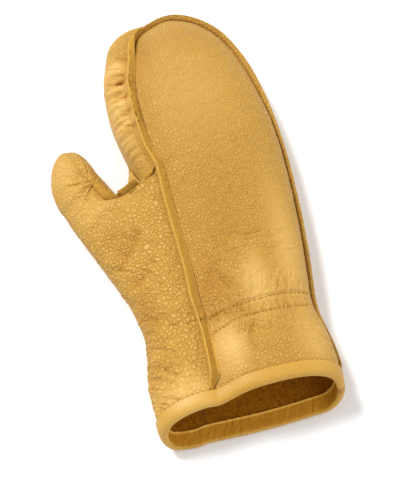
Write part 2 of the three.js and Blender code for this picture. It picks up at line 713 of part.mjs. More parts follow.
// Section of the binding: distance from the cut edge of the cuff, and height over the grain side.
function bindingSection() {
  const outside = GAP + BINDING_LEATHER;
  const inside = -LEATHER - outside;
  const fold = -GAP - BINDING_LEATHER;
  return [
    [BINDING_WIDTH, outside],
    [BINDING_WIDTH * 0.75, outside + BINDING_PUFF * 0.8],
    [BINDING_WIDTH * 0.35, outside + BINDING_PUFF],
    [0, outside + BINDING_PUFF * 0.4],
    [fold * 0.8, outside * 0.4],
    [fold, -LEATHER / 2],
    [fold * 0.8, inside + outside * 0.6],
    [0, inside],
    [BINDING_INSIDE / 2, inside],
    [BINDING_INSIDE, inside],
    [BINDING_INSIDE, -LEATHER - GAP],
    [BINDING_INSIDE / 2, -LEATHER - GAP],
    [-GAP, -LEATHER - GAP],
    [-GAP, GAP],
    [BINDING_WIDTH / 2, GAP],
    [BINDING_WIDTH, GAP],
  ];
}

function cuffBinding() {
  const section = bindingSection();
  const loops = section.map(([fromEdge, height]) => {
    const ring = cuffRing(Math.max(fromEdge, 0));
    const inner = cuffRing(Math.max(fromEdge, 0) + RING_SPACING);
    return ring.map((point, i) => {
      const ahead = ring[(i + 1) % ring.length];
      const behind = ring.at(i - 1);
      const along = inner[i].clone().sub(point).normalize();
      const out = ahead.clone().sub(behind).cross(along).normalize();
      return point.clone().addScaledVector(out, height).addScaledVector(along, Math.min(fromEdge, 0));
    });
  });
  const around = loops[0].length;
  const index = [];
  for (let i = 0; i < section.length; i += 1) {
    for (let j = 0; j < around; j += 1) {
      const [p, q] = [(i + 1) % section.length, (j + 1) % around];
      const [a, b, c, d] = [[i, j], [i, q], [p, q], [p, j]].map(([m, n]) => m * around + n);
      index.push(a, c, b, a, d, c);
    }
  }
  const geometry = new THREE.BufferGeometry();
  geometry.setAttribute('position', new THREE.Float32BufferAttribute(
    loops.flat().flatMap((point) => point.toArray()), 3));
  geometry.setIndex(index);
  geometry.computeVertexNormals();
  return geometry;
}

function material(color, roughness) {
  return new THREE.MeshStandardMaterial({ color, roughness, metalness: 0 });
}

function piece(name, geometry, leather) {
  const mesh = new THREE.Mesh(geometry, leather);
  mesh.name = name;
  return mesh;
}

const mitten = new THREE.Group();
mitten.add(piece('back_panel', backPanel(), material(0xd2a24e, 0.62)));
mitten.add(piece('palm_panel', palmPanel(), material(0xd8aa58, 0.66)));
mitten.add(piece('thumb_panel', thumbPanel(), material(0xdcae5c, 0.66)));
mitten.add(piece('thumb_welt', thumbWelt(), material(0xa8763a, 0.85)));
mitten.add(piece('cuff_binding', cuffBinding(), material(0xddb265, 0.55)));

const box = new THREE.Box3().setFromObject(mitten);
mitten.position.set(-(box.min.x + box.max.x) / 2, -(box.min.y + box.max.y) / 2, -box.min.z);

export default mitten;
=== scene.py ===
"""A leather work mitten for the right hand, lying palm down on a white surface.

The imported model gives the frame. Each of its five soft pieces is made again here at the same place,
from the same named sizes, with its folds, grain, cut edges and stitches. Sizes are in millimetres
until a mesh is made, which is in metres.
"""

import itertools
import math

import bpy
import numpy as np
from mathutils import Matrix, Vector
from mathutils.geometry import delaunay_2d_cdt


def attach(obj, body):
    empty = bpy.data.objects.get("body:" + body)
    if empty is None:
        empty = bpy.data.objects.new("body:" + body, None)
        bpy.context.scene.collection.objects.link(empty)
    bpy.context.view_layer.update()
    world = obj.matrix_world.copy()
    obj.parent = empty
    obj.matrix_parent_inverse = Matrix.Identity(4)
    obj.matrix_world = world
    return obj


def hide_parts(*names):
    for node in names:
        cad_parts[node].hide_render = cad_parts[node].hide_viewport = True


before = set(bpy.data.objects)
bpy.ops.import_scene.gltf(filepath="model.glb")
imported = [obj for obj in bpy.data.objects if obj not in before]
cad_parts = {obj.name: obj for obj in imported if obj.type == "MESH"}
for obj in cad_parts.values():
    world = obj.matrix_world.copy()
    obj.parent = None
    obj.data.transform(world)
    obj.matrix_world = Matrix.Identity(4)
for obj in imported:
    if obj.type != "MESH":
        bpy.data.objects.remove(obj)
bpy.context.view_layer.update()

METRES = 0.001

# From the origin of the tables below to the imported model's own, the middle of its box
SHIFT = np.array([14.3382, -150.0395, 0.0])

# The photograph's view
CAMERA_ELEVATION = 64.0
CAMERA_TURN = 11.3
CAMERA_DISTANCE = 850.0
CAMERA_AIM = np.array([0.0, 126.0, 20.0])
LENS = 100.0
SENSOR = 36.0

# Overall sizes of the stuffed mitten
LENGTH = 305.0
WIDTH = 110.0
HEIGHT = 43.0

# Leather and sewing
LEATHER = 1.3
GAP = 0.4
SEAM_WIDTH = 4.4
FIN_CLEARANCE = 1.0
FIN_RISE_LENGTH = 8.0
BORDER_X = -25.0
BORDER_BOW = 4.0
FLOOR_BOW = 1.2
FINGER_ROUND = 12.0
EDGE_ROUND = 14.0
THUMB_ROUND = 10.0
TIP_ROUND = 6.5
OUTLINE_STEP = 0.8
CROWN_POWER = 2.4
WELT_LEATHER = 1.4
WELT_DEPTH = 2.4
WELT_HEIGHT = 5.0
BINDING_LEATHER = 1.2
BINDING_WIDTH = 8.5
BINDING_PUFF = 0.7
BINDING_OVERHANG = 2.0
RING_SPACING = 1.0
SLANT_BY_HEIGHT = 0.4
SLANT_BY_WIDTH = 0.07
SLANT_REACH = 96.0
SEAM_LENGTH = LENGTH - SEAM_WIDTH - BINDING_OVERHANG
SEAM_OFFSET = LEATHER + GAP / 2
SLIT_HALF = WELT_LEATHER / 2 + GAP
CUFF_LIFT = GAP + BINDING_LEATHER + BINDING_PUFF
CUFF_LIFT_REACH = 26.0
QUARTER = 0.5523
MITRE_LIMIT = 0.5
NOTCH_CORNER = 0.28
NOTCH_GAP = 0.012
NOTCH_CLEARANCE = 0.6

# Spacing of the meshes
FINE = 0.72
COARSE = 2.2
FLOOR_SPACING = 4.0

# Widths of the panels along their leather: how many points cross them and how far each lies
# from the sewn edge
BACK_HALF_WIDTH = 66.0
PALM_WIDTH = 50.0
PALM_FLOOR_WIDTH = 60.0
THUMB_TOP_WIDTH = 54.0
THUMB_INNER_WIDTH = 50.0
THUMB_ROUND_WIDTH = 24.0
THUMB_FLOOR_WIDTH = 30.0

# The pressed line along the sewn edge, what folds do to the flesh side, and the painted shade laid in
# the folds
GROOVE_WIDTH = 0.9
FOLD_SLACK = 0.7
FOLD_SHADE = 0.36
FAR = 99.0

# The welt's bend in degrees beside the notch and the tip, and how many times its own height it
# stands, in full up to one row of the thumb and not at all from the next
WELT_BEND_NOTCH = 14.0
WELT_BEND_TIP = 28.0
WELT_TALL = 1.5
WELT_TALL_STOP = 11.4
WELT_PLAIN_START = 13.0

# Points round the mouth: how many times the density goes into each stretch of the outline
BINDING_DENSITY = 14
STITCH_DENSITY = 30
BACK_SPANS = 7
ROUND_SPANS = 3
PALM_SPANS = 8
THUMB_SPANS = 4
TOP_SPANS = 5

# The section of the binding is a smooth roll up to one row, and straight lines after it
ROLL_STOP = 18
ROLL_POINTS = 55
BINDING_EASE = 4.0
JOINT_DEPTH = 0.5
JOINT_FADE = 0.6
FLAP_LOOP = 36
RAW_EDGE_LOOP = 51
RAW_EDGE_LOOPS = 4

# Trim and stitches, with rows and shares of the fin's height for the places along the seam
STRIP_START = 19.6
STRIP_STOP = 35.6
STRIP_HEIGHT = 0.90
STRIP_LEATHER = 1.0
TAPE_DEPTH = 0.75
TAPE_LEATHER = 0.8
TAPE_REACH = 0.09
STITCH_SIDES = 6
FIN_STITCH_UP = 0.30
ELASTIC_PITCH = 2.6
ELASTIC_STITCH = 1.9
ELASTIC_THREAD = 0.20
BINDING_PITCH = 3.0
BINDING_STITCH = 2.6
BINDING_THREAD = 0.18
BINDING_STITCH_LIFT = 1.75
BINDING_STITCH_IN = 0.4
BINDING_STITCH_LOW = 4.0

UP = np.array([0.0, 0.0, 1.0])


def table(names, rows):
    """Rows of numbers under named columns, as one array for each name."""
    values = np.array(rows, float)
    return {name: values[:, i] for i, name in enumerate(names)}


# The back seam, from the right corner of the cuff round the fingertips to the left one: shares of
# the width, length and height, the fin's height, its lean in degrees, how far its two leathers
# part, and how far round the back panel turns down to it in degrees
SEAM = table(["x", "y", "z", "fin", "lean", "splay", "turn"], [
    [0.541, 0.000, 0.42, 0.42, 12, 0.05, 90],
    [0.562, 0.047, 0.43, 0.42, 12, 0.05, 90],
    [0.552, 0.100, 0.44, 0.42, 12, 0.05, 90],
    [0.530, 0.154, 0.45, 0.42, 12, 0.05, 90],
    [0.504, 0.201, 0.46, 0.6, 12, 0.05, 90],
    [0.504, 0.254, 0.46, 0.65, 12, 0.05, 90],
    [0.524, 0.334, 0.46, 0.7, 12, 0.05, 90],
    [0.542, 0.428, 0.46, 0.7, 12, 0.05, 90],
    [0.548, 0.508, 0.46, 0.7, 12, 0.05, 90],
    [0.549, 0.579, 0.46, 0.7, 12, 0.05, 90],
    [0.544, 0.632, 0.46, 0.7, 12, 0.05, 90],
    [0.530, 0.689, 0.46, 0.75, 14, 0.05, 90],
    [0.505, 0.749, 0.46, 0.85, 18, 0.05, 86],
    [0.458, 0.823, 0.46, 1.0, 22, 0.05, 82],
    [0.403, 0.883, 0.45, 1.0, 24, 0.05, 78],
    [0.327, 0.935, 0.45, 1.0, 30, 0.05, 74],
    [0.227, 0.972, 0.44, 1.0, 32, 0.05, 72],
    [0.118, 0.993, 0.43, 1.0, 30, 0.05, 67],
    [0.027, 0.997, 0.43, 0.85, 28, 0.05, 65],
    [-0.068, 0.984, 0.44, 0.8, 30, 0.05, 63],
    [-0.155, 0.960, 0.50, 0.8, 46, 0.10, 60],
    [-0.221, 0.913, 0.63, 1.0, 100, 0.26, 56],
    [-0.262, 0.866, 0.74, 1.2, 130, 0.38, 54],
    [-0.296, 0.813, 0.82, 1.2, 136, 0.46, 48],
    [-0.307, 0.746, 0.87, 1.2, 138, 0.46, 46],
    [-0.296, 0.689, 0.88, 1.2, 138, 0.46, 46],
    [-0.278, 0.632, 0.88, 1.2, 138, 0.46, 46],
    [-0.235, 0.579, 0.87, 1.2, 136, 0.46, 50],
    [-0.227, 0.508, 0.88, 1.2, 134, 0.46, 50],
    [-0.214, 0.428, 0.88, 1.2, 134, 0.46, 50],
    [-0.198, 0.334, 0.88, 1.2, 134, 0.46, 50],
    [-0.194, 0.254, 0.88, 1.2, 134, 0.46, 50],
    [-0.180, 0.201, 0.86, 1.25, 134, 0.46, 50],
    [-0.173, 0.154, 0.85, 1.3, 134, 0.46, 50],
    [-0.171, 0.100, 0.84, 1.3, 134, 0.46, 50],
    [-0.169, 0.047, 0.82, 1.2, 130, 0.46, 50],
    [-0.169, 0.000, 0.81, 1.0, 120, 0.46, 50],
])
TIP_ROW = 18
LAST_ROW = 36
JOIN_ROW = 27
FINGERTIP_ROW = 22.0
CUFF_ROW = 1.8

# The line along the top of the back panel, from the cuff to the fingertips
CREST = table(["x", "y", "z"], [
    [0.164, 0.000, 0.965],
    [0.156, 0.047, 0.975],
    [0.148, 0.100, 0.985],
    [0.140, 0.154, 0.985],
    [0.133, 0.201, 0.985],
    [0.124, 0.254, 0.99],
    [0.112, 0.334, 1.0],
    [0.097, 0.428, 1.0],
    [0.084, 0.508, 1.0],
    [0.073, 0.579, 1.0],
    [0.065, 0.632, 0.995],
    [0.056, 0.689, 0.98],
    [0.048, 0.746, 0.965],
    [0.043, 0.785, 0.955],
    [0.040, 0.807, 0.95],
])

# From the back seam out to the palm panel's widest line, from the tip down the first finger
FINGER_SIDE = table(["x", "y", "z"], [
    [0.000, 0.000, 0.000],
    [-0.012, 0.014, -0.02],
    [-0.065, 0.028, -0.10],
    [-0.108, 0.036, -0.22],
    [-0.123, 0.029, -0.34],
    [-0.125, 0.014, -0.42],
    [-0.116, 0.004, -0.47],
    [-0.102, 0.000, -0.48],
    [-0.082, 0.000, -0.48],
    [-0.092, 0.000, -0.48],
    [-0.092, 0.000, -0.48],
])

# Where the palm panel ends in the notch, from the back seam across it to the table
NOTCH = table(["across", "row"], [
    [0.00, 27.0],
    [0.28, 27.3],
    [0.50, 26.0],
    [1.00, 25.8],
])

# The gathers beside the first finger, by row of the back seam
PUCKERS = table(["row", "depth", "wide"], [
    [20.75, 0.14, 0.06],
    [21.15, 0.22, 0.07],
    [21.32, 0.16, 0.05],
    [21.50, 0.24, 0.07],
    [21.72, 0.12, 0.05],
    [22.34, 0.20, 0.06],
    [22.66, 1.05, 0.20],
    [23.05, 0.30, 0.08],
    [23.22, 0.16, 0.05],
    [23.44, 0.40, 0.10],
    [23.66, 0.14, 0.05],
    [23.96, 0.42, 0.10],
    [24.12, 0.20, 0.05],
    [24.36, 0.14, 0.07],
    [24.62, 0.34, 0.11],
    [24.86, 0.12, 0.05],
    [25.20, 0.22, 0.10],
    [25.50, 0.10, 0.06],
    [25.84, 0.16, 0.08],
    [26.20, 0.12, 0.08],
])

# The outer side of hand and thumb, the sewn edge in line with it, and the swell between the two
THUMB_OUTER = table(["x", "y", "z", "sewnX", "sewnY", "sewnZ", "reach", "rise", "shoulder"], [
    [-0.466, 0.000, 0.40, 0, 0, 0, 0.5, -0.02, 0.30],
    [-0.494, 0.047, 0.41, 0, 0, 0, 0.5, -0.02, 0.31],
    [-0.506, 0.097, 0.41, 0, 0, 0, 0.5, -0.02, 0.32],
    [-0.494, 0.144, 0.40, 0, 0, 0, 0.5, -0.02, 0.32],
    [-0.478, 0.184, 0.38, 0, 0, 0, 0.5, -0.02, 0.33],
    [-0.471, 0.224, 0.36, 0, 0, 0, 0.5, -0.02, 0.34],
    [-0.513, 0.297, 0.35, 0, 0, 0, 0.5, -0.02, 0.34],
    [-0.575, 0.357, 0.35, 0, 0, 0, 0.5, -0.03, 0.34],
    [-0.644, 0.414, 0.35, 0, 0, 0, 0.5, -0.05, 0.34],
    [-0.707, 0.465, 0.35, -0.245, 0.585, 0.75, 0.5, -0.06, 0.34],
    [-0.758, 0.508, 0.35, -0.318, 0.562, 0.60, 0.35, 0.10, 0.33],
    [-0.796, 0.543, 0.35, -0.395, 0.545, 0.55, 0.30, 0.17, 0.32],
    [-0.823, 0.566, 0.35, -0.464, 0.540, 0.55, 0.30, 0.17, 0.31],
    [-0.840, 0.591, 0.35, -0.536, 0.551, 0.58, 0.30, 0.15, 0.30],
    [-0.848, 0.617, 0.35, -0.595, 0.583, 0.60, 0.30, 0.13, 0.29],
    [-0.836, 0.645, 0.35, -0.641, 0.622, 0.63, 0.35, 0.10, 0.27],
    [-0.809, 0.672, 0.35, -0.677, 0.659, 0.60, 0.35, 0.07, 0.24],
    [-0.769, 0.693, 0.35, -0.700, 0.687, 0.50, 0.35, 0.03, 0.14],
    [-0.714, 0.703, 0.35, -0.714, 0.703, 0.35, 0.00, 0.00, 0.00],
])
THUMB_JOIN = 9
DART_START = 10
DART_END = 14
THUMB_TIP = 18

# The inner side of the thumb, from its tip back to the dart
THUMB_INNER = table(["x", "y", "z"], [
    [-0.714, 0.703, 0.35],
    [-0.660, 0.695, 0.35],
    [-0.621, 0.679, 0.35],
    [-0.586, 0.655, 0.35],
    [-0.545, 0.624, 0.35],
    [-0.495, 0.590, 0.35],
    [-0.457, 0.570, 0.36],
    [-0.420, 0.580, 0.37],
    [-0.390, 0.603, 0.38],
])

# Broad hollows in the upper faces, as shares of the width, length and height
HOLLOWS = table(["x", "y", "reachX", "reachY", "depth"], [
    [-0.090, 0.040, 0.09, 0.12, 0.08],
    [-0.090, 0.200, 0.10, 0.07, 0.05],
    [0.180, 0.213, 0.36, 0.030, 0.045],
    [0.140, 0.150, 0.025, 0.035, 0.035],
    [-0.520, 0.420, 0.10, 0.04, 0.05],
])


def column(rows, name, row):
    """Value of a named column at fractional rows, on a smooth curve through the rows."""
    values = rows[name]
    last = len(values) - 1
    row = np.asarray(row, float)
    i = np.clip(np.floor(row).astype(int), 0, last - 1)
    t = row - i
    b = values[i]
    c = values[i + 1]
    a = np.where(i > 0, values[np.maximum(i - 1, 0)], 2 * b - c)
    d = np.where(i + 2 <= last, values[np.minimum(i + 2, last)], 2 * c - b)
    return b + 0.5 * t * (c - a + t * (2 * a - 5 * b + 4 * c - d + t * (3 * (b - c) + d - a)))


def place(rows, row, names=("x", "y", "z")):
    """Points from three columns that hold shares of the width, length and height."""
    x, y, z = [column(rows, name, row) for name in names]
    return np.stack([x * WIDTH, y * SEAM_LENGTH, z * HEIGHT], -1)


def smooth(value, low, high):
    t = np.clip((np.asarray(value, float) - low) / (high - low), 0, 1)
    return t * t * (3 - 2 * t)


def unit(vectors):
    return vectors / np.maximum(np.linalg.norm(vectors, axis=-1, keepdims=True), 1e-12)


def flat(points, height=0.0):
    """The points at another height."""
    moved = np.array(points, float)
    moved[..., 2] = height
    return moved


def between(a, b, share):
    share = np.asarray(share, float)[..., None]
    return a + (b - a) * share


def bezier(a, b, c, d, share):
    t = np.asarray(share, float)[..., None]
    s = 1 - t
    return s ** 3 * a + 3 * s * s * t * b + 3 * s * t * t * c + t ** 3 * d


def paired(a, b):
    """Two arrays of numbers, spread to one shape."""
    return np.broadcast_arrays(np.asarray(a, float), np.asarray(b, float))


def dot(a, b):
    return np.sum(a * b, axis=-1, keepdims=True)


def left_of(curve, at, low, high, step=0.05):
    """Direction in plan at right angles to a curve of places, on its left."""
    ahead = curve(np.minimum(at + step, high))
    behind = curve(np.maximum(at - step, low))
    way = ahead - behind
    return unit(np.stack([-way[..., 1], way[..., 0], np.zeros_like(way[..., 0])], -1))


def seam_point(row):
    return place(SEAM, row)


def seam_frame(row):
    """The back seam: its place, the way its fin stands, and the way across it to the back panel."""
    out = -left_of(seam_point, row, 0, LAST_ROW)
    lean = np.radians(column(SEAM, "lean", row))[..., None]
    fin = out * np.cos(lean) + UP * np.sin(lean)
    across = -out * np.sin(lean) + UP * np.cos(lean)
    return seam_point(row), fin, across


def fin_height(row):
    from_cuff = seam_point(row)[..., 1] - BINDING_WIDTH - FIN_CLEARANCE
    return SEAM_WIDTH * column(SEAM, "fin", row) * smooth(from_cuff, 0, FIN_RISE_LENGTH)


def seam_edge(row, side, share):
    """One panel's edge in the seam: side is 1 for the back panel and -1 for the panel below it."""
    point, fin, across = seam_frame(row)
    height = fin_height(row)
    splay = height * column(SEAM, "splay", row) * share * share
    aside = side * (SEAM_OFFSET + splay)
    return point + across * aside[..., None] + fin * (height * share)[..., None]


def back_point(row, share):
    """The back panel between its crest (share 0) and its seam (share 1)."""
    crest_row = np.minimum(np.minimum(row, LAST_ROW - row), len(CREST["x"]) - 1)
    crest = place(CREST, crest_row)
    edge = seam_edge(row, 1, np.zeros_like(share))
    turn = np.radians(column(SEAM, "turn", row))
    power = 2 / CROWN_POWER
    outward = (np.sin(turn * share) / np.sin(turn)) ** power
    fall = np.maximum(np.cos(turn), 0) ** power
    middle = (edge[..., 2] - crest[..., 2] * fall) / (1 - fall)
    point = between(crest, edge, outward)
    height = middle + (crest[..., 2] - middle) * np.maximum(np.cos(turn * share), 0) ** power
    return np.stack([point[..., 0], point[..., 1], height], -1)


def palm_side(row):
    """The widest line of the palm panel."""
    in_table = np.clip(row - TIP_ROW, 0, len(FINGER_SIDE["x"]) - 1)
    return seam_edge(row, -1, np.zeros_like(row)) + place(FINGER_SIDE, in_table)


def quarter_round(side, foot, share):
    """From a widest point down to where the leather meets the table."""
    down = flat(side)
    down[..., 2] = side[..., 2] * (1 - QUARTER)
    inward = foot + (flat(side) - foot) * (1 - QUARTER)
    return bezier(side, down, inward, foot, share)


def palm_inward(row):
    return left_of(palm_side, row, 0, LAST_ROW - 8)


def palm_foot(row):
    on_fingers = smooth(row, TIP_ROW - 2, TIP_ROW + 4)
    radius = EDGE_ROUND + (FINGER_ROUND - EDGE_ROUND) * on_fingers
    return flat(palm_side(row)) + palm_inward(row) * radius[..., None]


def pucker_depth(row):
    """Depth of the gathers at a row of the seam."""
    folds = zip(PUCKERS["row"], PUCKERS["depth"], PUCKERS["wide"])
    return sum(depth * SEAM_WIDTH * np.exp(-((row - at) / wide) ** 2) for at, depth, wide in folds)


def palm_point(row, across):
    """The palm panel from its seam (0) over its widest line (0.5) to the table (1)."""
    row, across = paired(row, across)
    side = palm_side(row)
    low = quarter_round(side, palm_foot(row), np.clip(across * 2 - 1, 0, 1))
    seam = seam_edge(row, -1, np.zeros_like(row))
    first = seam + flat(side - seam) * 0.55
    first[..., 2] -= 0.1 * (seam[..., 2] - side[..., 2])
    second = side.copy()
    second[..., 2] = side[..., 2] + (seam[..., 2] - side[..., 2]) * 0.6
    high = bezier(seam, first, second, side, np.clip(across * 2, 0, 1))
    bell = smooth(across, 0, 0.05) * (1 - smooth(across, 0.22, 0.5))
    sink = (pucker_depth(row) * bell * 0.7)[..., None]
    high = high + palm_inward(row) * sink - UP * sink
    return np.where((across >= 0.5)[..., None], low, high)


def notch_row(across):
    """Row of the seam at which the palm panel ends, by place across it."""
    return np.interp(across, NOTCH["across"], NOTCH["row"])


def notch_edge(across):
    """The thumb panel's side of the notch."""
    across = np.asarray(across, float)
    clear = NOTCH_CLEARANCE * smooth(across, 0.5, 1)
    return palm_point(notch_row(across) + NOTCH_GAP, across) - np.array([1.0, 0, 0]) * clear[..., None]


def border_point(y):
    """The edge between palm and thumb panel on the underside, from the cuff to the notch."""
    top = palm_point(notch_row(1.0), 1.0)
    share = y / top[1]
    x = BORDER_X + (top[0] - BORDER_X) * share + BORDER_BOW * np.sin(math.pi * share)
    return np.stack([x, y, np.zeros_like(y)], -1)


def thumb_side(row):
    return place(THUMB_OUTER, row)


def thumb_inner_side(row):
    return place(THUMB_INNER, THUMB_TIP - row)


def thumb_outline(at):
    """Outline of the thumb: its outer side up to the tip, and its inner side back from there."""
    outer = thumb_side(np.minimum(at, THUMB_TIP))
    inner = thumb_inner_side(2 * THUMB_TIP - np.clip(at, THUMB_TIP, 2 * THUMB_TIP - DART_START))
    return np.where((np.asarray(at) <= THUMB_TIP)[..., None], outer, inner)


def outline_foot(at, radius):
    """Where a side of the thumb panel meets the table, by its place along the outline."""
    inward = -left_of(thumb_outline, at, 0, 2 * THUMB_TIP - DART_START, OUTLINE_STEP)
    to_tip = 1 - smooth(np.abs(at - THUMB_TIP), 1, 4)
    return flat(thumb_outline(at)) + inward * (radius + (TIP_ROUND - radius) * to_tip)[..., None]


def thumb_foot(row):
    on_hand = smooth(row, THUMB_JOIN - 3, DART_START)
    return outline_foot(row, FINGER_ROUND + (THUMB_ROUND - FINGER_ROUND) * on_hand)


def thumb_inner_foot(row):
    row = np.asarray(row, float)
    return outline_foot(2 * THUMB_TIP - row, np.full_like(row, THUMB_ROUND))


SEWN = ("sewnX", "sewnY", "sewnZ")
DART_SHIFT = notch_edge(NOTCH_CORNER) - place(THUMB_OUTER, DART_START, SEWN)


def dart(row):
    """Middle line of the dart, which starts at the corner of the notch."""
    held = 1 - smooth(row, DART_START, DART_START + 2)
    return place(THUMB_OUTER, row, SEWN) + DART_SHIFT * held[..., None]


def dart_frame(row):
    """Middle of the dart, and the way across it towards the inner side of the thumb."""
    row = np.asarray(row, float)
    point = dart(row)
    ahead = dart(np.minimum(row + 0.05, DART_END + 0.5))
    behind = dart(np.maximum(row - 0.05, DART_START))
    along = unit(ahead - behind)
    inner = thumb_inner_side(row) - point
    return point, unit(inner - along * dot(inner, along))


def dart_half(row):
    """Half width of the dart: open where the welt stands, closed beyond its end."""
    return SLIT_HALF * (1 - smooth(row, DART_END, DART_END + 0.3))


def thumb_seam_row(row):
    return np.maximum(LAST_ROW - row, JOIN_ROW + NOTCH_GAP)


def thumb_sewn(row):
    """The sewn edge of the thumb panel: along the back seam, down the notch, along the dart."""
    row = np.asarray(row, float)
    on_seam = seam_edge(thumb_seam_row(np.minimum(row, THUMB_JOIN)), -1, np.zeros_like(row))
    share = np.clip(row - THUMB_JOIN, 0, 1)
    start_across = dart_frame(float(DART_START))[1]
    down_notch = notch_edge(NOTCH_CORNER * share) - start_across * (SLIT_HALF * share)[..., None]
    late = np.maximum(row, DART_START)
    point, across = dart_frame(late)
    on_dart = point - across * dart_half(late)[..., None]
    sewn = np.where((row <= DART_START)[..., None], down_notch, on_dart)
    return np.where((row <= THUMB_JOIN)[..., None], on_seam, sewn)


def thumb_top(row, share):
    """The upper face of the thumb panel from its sewn edge (0) to its outer side (1)."""
    row, share = paired(row, share)
    sewn = thumb_sewn(row)
    side = thumb_side(row)
    first = sewn + flat(side - sewn) * column(THUMB_OUTER, "reach", row)[..., None]
    first[..., 2] += column(THUMB_OUTER, "rise", row) * HEIGHT
    second = side.copy()
    second[..., 2] += column(THUMB_OUTER, "shoulder", row) * HEIGHT
    return bezier(sewn, first, second, side, share)


def inner_round(lip, side, share):
    """From a lip over to a widest point, which the leather reaches upright."""
    above = side.copy()
    above[..., 2] = lip[..., 2]
    return bezier(lip, (lip + above) / 2, (side + above) / 2, side, share)


def thumb_inner(row, across):
    """The inner face of the thumb from the dart (0) over the crotch line (0.5) to the table (1)."""
    row, across = paired(row, across)
    side = thumb_inner_side(row)
    low = quarter_round(side, thumb_inner_foot(row), np.clip(across * 2 - 1, 0, 1))
    point, inward = dart_frame(row)
    lip = point + inward * dart_half(row)[..., None]
    high = inner_round(lip, side, np.clip(across * 2, 0, 1))
    return np.where((across >= 0.5)[..., None], low, high)


def web_point(along, across):
    """The web of the thumb panel between the dart (0), the side of the hand (1) and the
    underside (2), from the notch (across 0) to the table (1)."""
    along, across = paired(along, across)
    foot = between(thumb_inner_foot(float(DART_START)), notch_edge(1.0), along / 2)
    foot[..., 0] -= FLOOR_BOW * np.sin(math.pi * along / 2)
    lower = np.clip(across * 2 - 1, 0, 1)
    far_lip = notch_edge(np.maximum(along, 1) / 2)
    far = np.where((across < 0.5)[..., None], far_lip, quarter_round(far_lip, foot, lower))
    near_share = np.minimum(along, 1)
    side = between(thumb_inner_side(float(DART_START)), notch_edge(0.5), near_share)
    inward = dart_frame(float(DART_START))[1]
    lip = notch_edge(NOTCH_CORNER + (0.5 - NOTCH_CORNER) * near_share)
    lip = lip + inward * (SLIT_HALF * (1 - near_share))[..., None]
    upper = inner_round(lip, side, np.clip(across * 2, 0, 1))
    near = np.where((across >= 0.5)[..., None], quarter_round(side, foot, lower), upper)
    return np.where((along > 1)[..., None], far, near)


def settle(points):
    """Last shaping of every point: the slant of the mouth, the lift of the cuff, the hollows."""
    x, y, z = points[..., 0], points[..., 1], points[..., 2]
    at_cuff = 1 - smooth(y, 0, SLANT_REACH)
    lift = CUFF_LIFT * (1 - smooth(y, BINDING_WIDTH, CUFF_LIFT_REACH))
    upper = smooth(z, 0.45 * HEIGHT, 0.8 * HEIGHT)
    sink = np.zeros_like(z)
    for hx, hy, reach_x, reach_y, depth in zip(*HOLLOWS.values()):
        dx = (x / WIDTH - hx) / reach_x
        dy = (y / SEAM_LENGTH - hy) / reach_y
        sink = sink + depth * np.exp(-dx * dx - dy * dy)
    new_y = y + at_cuff * (SLANT_BY_WIDTH * x + SLANT_BY_HEIGHT * z)
    new_z = z + lift * (1 - z / HEIGHT) - sink * HEIGHT * upper
    return np.stack([x, new_y, new_z], -1)


def border_at(row, side):
    """Border point in line with the feet of both panels; side is 1 for the palm panel's edge."""
    palm = palm_point(row, 1.0)
    thumb = thumb_foot(row)
    share = (palm[..., 0] - BORDER_X) / (palm[..., 0] - thumb[..., 0])
    y = between(palm, thumb, share)[..., 1]
    return border_point(y) + np.array([side * GAP / 2, 0, 0])


def floor_strip(a, b, count):
    """Points from one place of the underside to another, bowed a little towards the mouth."""
    share = np.linspace(0, 1, count + 1)
    points = a[..., None, :] + (b - a)[..., None, :] * share[:, None]
    points[..., 1] -= FLOOR_BOW * np.sin(math.pi * share)
    return points


# Noise that is the same at every run

def scatter(cell, seed):
    """Three even numbers from 0 to 1 for each cell of a grid."""
    h = cell[..., 0] * 73856093 ^ cell[..., 1] * 19349663 ^ cell[..., 2] * 83492791 ^ seed * 2654435
    numbers = []
    for _ in range(3):
        h = (h * 1103515245 + 12345) & 0x7FFFFFFF
        h = h ^ (h >> 11)
        numbers.append((h & 0xFFFFF) / 0xFFFFF)
    return np.stack(numbers, -1)


def drift(points, size, seed):
    """Smooth noise from -1 to 1 that changes over a distance."""
    p = points / size
    cell = np.floor(p).astype(np.int64)
    t = p - cell
    t = t * t * (3 - 2 * t)
    total = np.zeros(points.shape[:-1])
    for corner in itertools.product((0, 1), repeat=3):
        weight = np.ones_like(total)
        for axis in range(3):
            weight = weight * (t[..., axis] if corner[axis] else 1 - t[..., axis])
        total += weight * (scatter(cell + np.array(corner), seed)[..., 0] * 2 - 1)
    return total


def pebbles(points, size, seed):
    """Height of pebbled grain, 0 in the furrows between the pebbles and 1 on top of them."""
    p = points / size
    cell = np.floor(p).astype(np.int64)
    first = np.full(points.shape[:-1], 9.0)
    second = first.copy()
    for offset in itertools.product((-1, 0, 1), repeat=3):
        near = cell + np.array(offset)
        centre = near + 0.5 + 0.8 * (scatter(near, seed) - 0.5)
        distance = np.linalg.norm(p - centre, axis=-1)
        second = np.minimum(second, np.maximum(first, distance))
        first = np.minimum(first, distance)
    return smooth(second - first, 0, 0.75)


